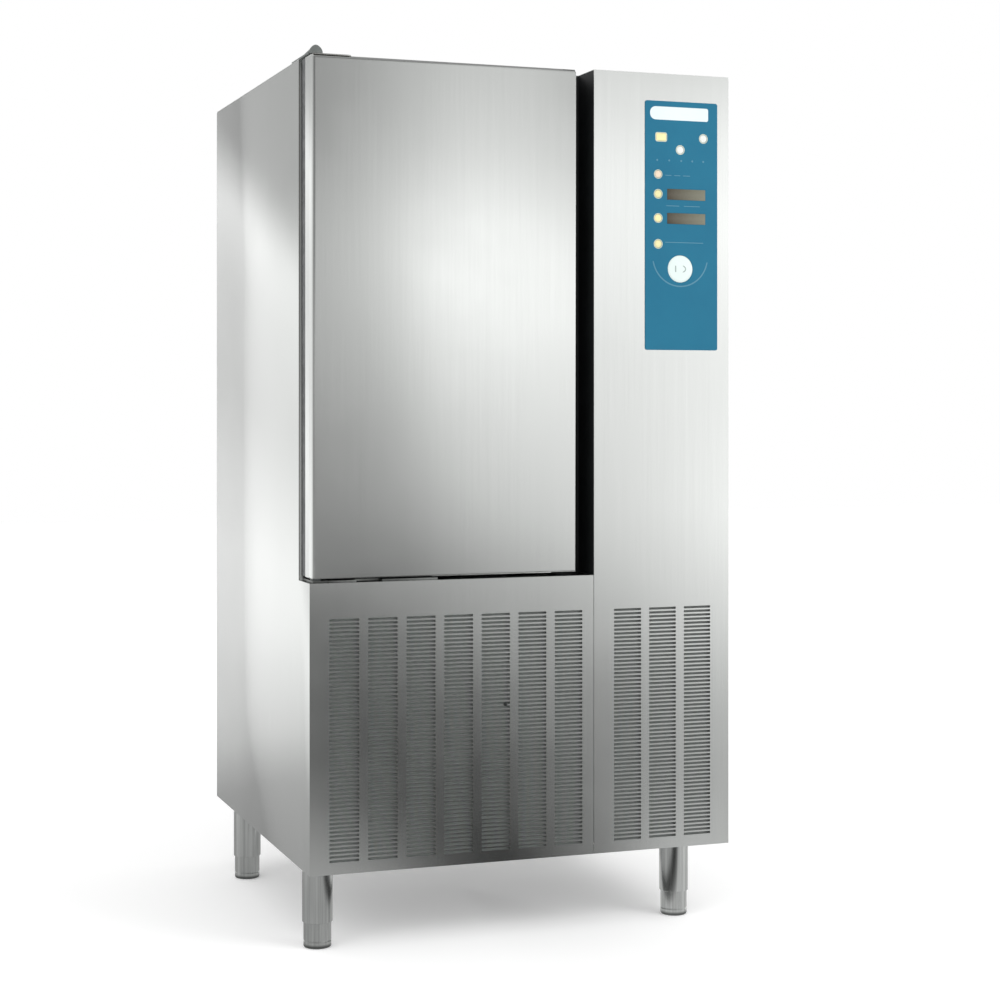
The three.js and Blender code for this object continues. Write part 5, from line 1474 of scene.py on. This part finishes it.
def makeCoil(coil, bothEnds):
    # fins and tubes belong to the coil; the two end plates are given back for its frame
    low, high, along = Vector(coil["low"]), Vector(coil["high"]), coil["along"]
    run, side = (yAxis, xAxis) if along == 1 else (xAxis, yAxis)
    sheet, length = coilSheets["plate"], high[along] - low[along]
    first = low.copy()
    first[along] += sheet + coilSheets["gap"]
    last = high.copy()
    last[along] = first[along] + coilSheets["fin"]
    fins = addBlock(coil["title"] + "Fins", first, last)
    pitch = (length - 2 * (sheet + coilSheets["gap"])) / coil["fins"]
    repeat(fins, coil["fins"], run * pitch)
    belongTo(fins, "finAluminium", coil["node"])

    plates = []
    for end, inward in ((low[along], 1), (high[along], -1)):
        corner = low.copy()
        corner[along] = end
        plate = addPlate("plate", corner, side * (high - low).dot(side), zAxis * (high.z - low.z))
        for at in (low.z, high.z):
            extrudeEdges(plate, lambda m, d: near(m.z, at), run * inward * (coilSheets["flange"] - 0.0001))
        thicken(plate, sheet * inward, along == 0)
        tidyFaces(plate)
        plates.append(plate)

    tubes = []
    rod = addRod("rod", (0, 0, 0), run, length, coil["tube"], sides=12)
    half = coil["rowPitch"] / 2
    bend = addRing("bend", (0, 0, half), side, half, coil["tube"], 24, 10)
    keepSide(bend, (0, 0, 0), -run)
    flip = Matrix.Translation(run * length) @ Matrix.Rotation(math.pi, 4, "Z")
    for column in coil["columns"]:
        spot = side * column + run * low[along]
        heights = [coil["firstZ"] + coil["rowPitch"] * row for row in range(coil["rows"])]
        rows = [Matrix.Translation(spot + zAxis * height) for height in heights]
        tubes += [stamp(rod, "tube", rows), stamp(bend, "bend", rows[0::2])]
        if bothEnds:
            tubes.append(stamp(bend, "bend", [place @ flip for place in rows[1:-1:2]]))
    for master in (rod, bend):
        bpy.data.objects.remove(master)
    belongTo(joinAll(coil["title"] + "Tubes", tubes), "copperTube", coil["node"], "copper")
    return plates


def makeCoils():
    plates = makeCoil(evaporator, True)
    low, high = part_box("evaporator_coil")
    tray = addBlock("tray", low, (high.x, high.y, low.z + evaporator["tray"]))
    removeFaces(tray, facing(zAxis))
    roundOff(tray, 0.006, 3)
    thicken(tray, evaporator["traySheet"])
    hangers = []
    for x, y in evaporator["hangers"]:
        shape = [(x + right, y + deep) for right, deep in evaporator["hangerShape"]]
        hangers.append(foldSheet("hanger", "z", (low.z + 0.002, evaporator["hangerTop"]), shape,
                                 evaporator["hangerSheet"], 0.002))
    standFor(joinAll("evaporatorFrame", plates + [tray] + hangers), "galvanised", "evaporator_coil")
    plates = makeCoil(condenser, False)
    (y0, z0), (y1, z1) = condenser["foot"]
    feet = [addBlock("foot", (x, y0, z0), (x + condenser["footWidth"], y1, z1)) for x in condenser["footX"]]
    for foot in feet:
        roundOff(foot, 0.001)
    standFor(joinAll("condenserFrame", plates + feet), "galvanised", "condenser_coil")
    print("coils ready")


# Machine compartment and the plain carried-over shapes: finish, edge, smoothing angle.
softened = {
    "column_trim": ("blackPlastic", 0.0005, 32), "door_frame": ("steelUpright", 0.0003, 32),
    "base_frame": ("galvanised", 0.0004, 32), "machine_deck": ("galvanised", 0.0004, 32),
    "rack_left": ("linerSteel", 0.0003, 32), "rack_right": ("linerSteel", 0.0003, 32),
    "compressor": ("compressorEnamel", 0.0015, 40), "suction_line": ("copperTube", 0, 60),
    "liquid_line": ("receiverEnamel", 0.0006, 50), "electrical_box": ("boxPaint", 0.002, 32),
    "cord_gland": ("blackPlastic", 0.0006, 40), "control_board": ("board", 0.0002, 32),
}
pot = {
    "seamAt": (-0.19, 0.109, 0.3203), "radius": 0.108,
    # out from the pot's radius, and up
    "seam": ((-0.002, -0.008), (0.0025, -0.008), (0.0035, -0.006), (0.0035, 0), (0.002, 0.002), (0.0025, 0.006),
             (-0.002, 0.008), (-0.002, -0.008)),
}
electrics = {
    "boxScrewIn": 0.014, "boxScrewZ": (0.212, 0.4), "face": -0.4089, "sink": 0.0001,
    # x, z, width, height and depth of each chip
    "chips": ((0.292, 1.36, 0.03, 0.03, 0.0024), (0.34, 1.44, 0.018, 0.026, 0.0022),
              (0.3, 1.52, 0.016, 0.012, 0.002), (0.36, 1.54, 0.022, 0.01, 0.002)),
    "relayX": (0.285, 0.309, 0.333, 0.357), "relay": (0.02, 0.0155), "relayZ": (1.305, 1.329),
    "plug": ((0.296, 1.606), (0.356, 1.617)), "plugRise": 0.011, "plugRim": 0.0015, "plugDeep": 0.008,
}
filling = {
    "width": 0.5187, "shoulder": -0.38, "step": -0.364,
    "stepSpan": ((-0.4192, 0.7483), (0.0772, 1.7147)), "panSpan": ((-0.3842, 0.7803), (0.0492, 1.6837)),
    "bushRoom": 0.0003, "lowBore": -0.0035, "highBore": -0.0465, "bore": 0.05,
}


def makeDoorFoam():
    # the filling follows the bent skin and leaves room for the two bushes
    low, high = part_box("door_foam")
    shoulder, step = filling["shoulder"], filling["step"]
    piece = addBlock("doorFoam", low, (low.x + filling["width"], shoulder, high.z))
    for span, start, far in (("stepSpan", shoulder, step), ("panSpan", step, high.y)):
        (x0, z0), (x1, z1) = filling[span]
        insetTo(piece, lambda m, n: n.y > 0.9 and near(m.y, start), (x0, start, z0), (x1, start, z1),
                (0, far - start, 0))
    bevelEdges(piece, lambda m, d: near(m.y, low.y) and (m.x < low.x + 1e-4 or m.z > high.z - 1e-4),
               door["bend"], 4)
    bushLow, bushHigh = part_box("upper_hinge_bush")
    axis = (bushLow + bushHigh) / 2
    radius = (bushHigh.x - bushLow.x) / 2 + filling["bushRoom"]
    cutWith(piece, [addRod("bore", (axis.x, axis.y, z), zAxis, filling["bore"], radius)
                    for z in (low.z + filling["lowBore"], high.z + filling["highBore"])])
    standFor(piece, "foam", "door_foam")


def makeBoardParts():
    face, sink = electrics["face"], electrics["sink"]
    chips = []
    for x, z, width, height, deep in electrics["chips"]:
        chips.append(addBlock("chip", (x, face - sink, z), (x + width, face + deep, z + height)))
        roundOff(chips[-1], 0.0003)
    belongTo(joinAll("boardChips", chips), "chipBlack", "control_board", "motor_black")
    relays = []
    (width, deep), (z0, z1) = electrics["relay"], electrics["relayZ"]
    for x in electrics["relayX"]:
        back = min(face + deep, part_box("control_board")[1].y)
        relays.append(addBlock("relay", (x, face - sink, z0), (x + width, back, z1)))
        roundOff(relays[-1], 0.0008)
    (x0, z0), (x1, z1) = electrics["plug"]
    top, rim = face + electrics["plugRise"], electrics["plugRim"]
    plug = addBlock("plug", (x0, face - sink, z0), (x1, top, z1))
    insetTo(plug, facing(yAxis), (x0 + rim, top, z0 + rim), (x1 - rim, top, z1 - rim),
            (0, -electrics["plugDeep"], 0))
    belongTo(joinAll("boardRelays", relays + [plug]), "relayWhite", "control_board", "key_white")


def makeMachine():
    for node, (finish, edge, smooth) in softened.items():
        piece = refine(node, 0)
        if node == "base_frame":
            # the front rim is cut down behind the slots
            cutWith(piece, [addBlock("cutter", *grille["sill"])])
        if edge:
            roundOff(piece, edge)
        standFor(piece, finish, node, smooth)
    profile = [(pot["radius"] + out, up) for out, up in pot["seam"]]
    seam = turnShape("compressorSeam", pot["seamAt"], zAxis, profile, 64)
    belongTo(seam, "compressorEnamel", "compressor", smooth=40)
    low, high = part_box("electrical_box")
    inset = electrics["boxScrewIn"]
    heights = (*electrics["boxScrewZ"], high.z - inset)
    spots = [(x, low.y, z) for x in (low.x + inset, high.x - inset) for z in heights]
    belongTo(placeCopies(panScrew, "boxScrews", spots, -yAxis), "zincScrew", "machine_deck")
    makeBoardParts()
    makeDoorFoam()
    for holder in frame["nodes"]["cabinet_foam"].material_slots:
        holder.material = finishes["foam"]
    print("machine parts ready")


makeShell()
makeFrontPanels()
makeKeys()
makeFascia()
makeDoor()
makeHinges()
makeLegs()
makeLiner()
makeAirParts()
makeCoils()
makeMachine()
for master in (panScrew, flushScrew):
    bpy.data.objects.remove(master)
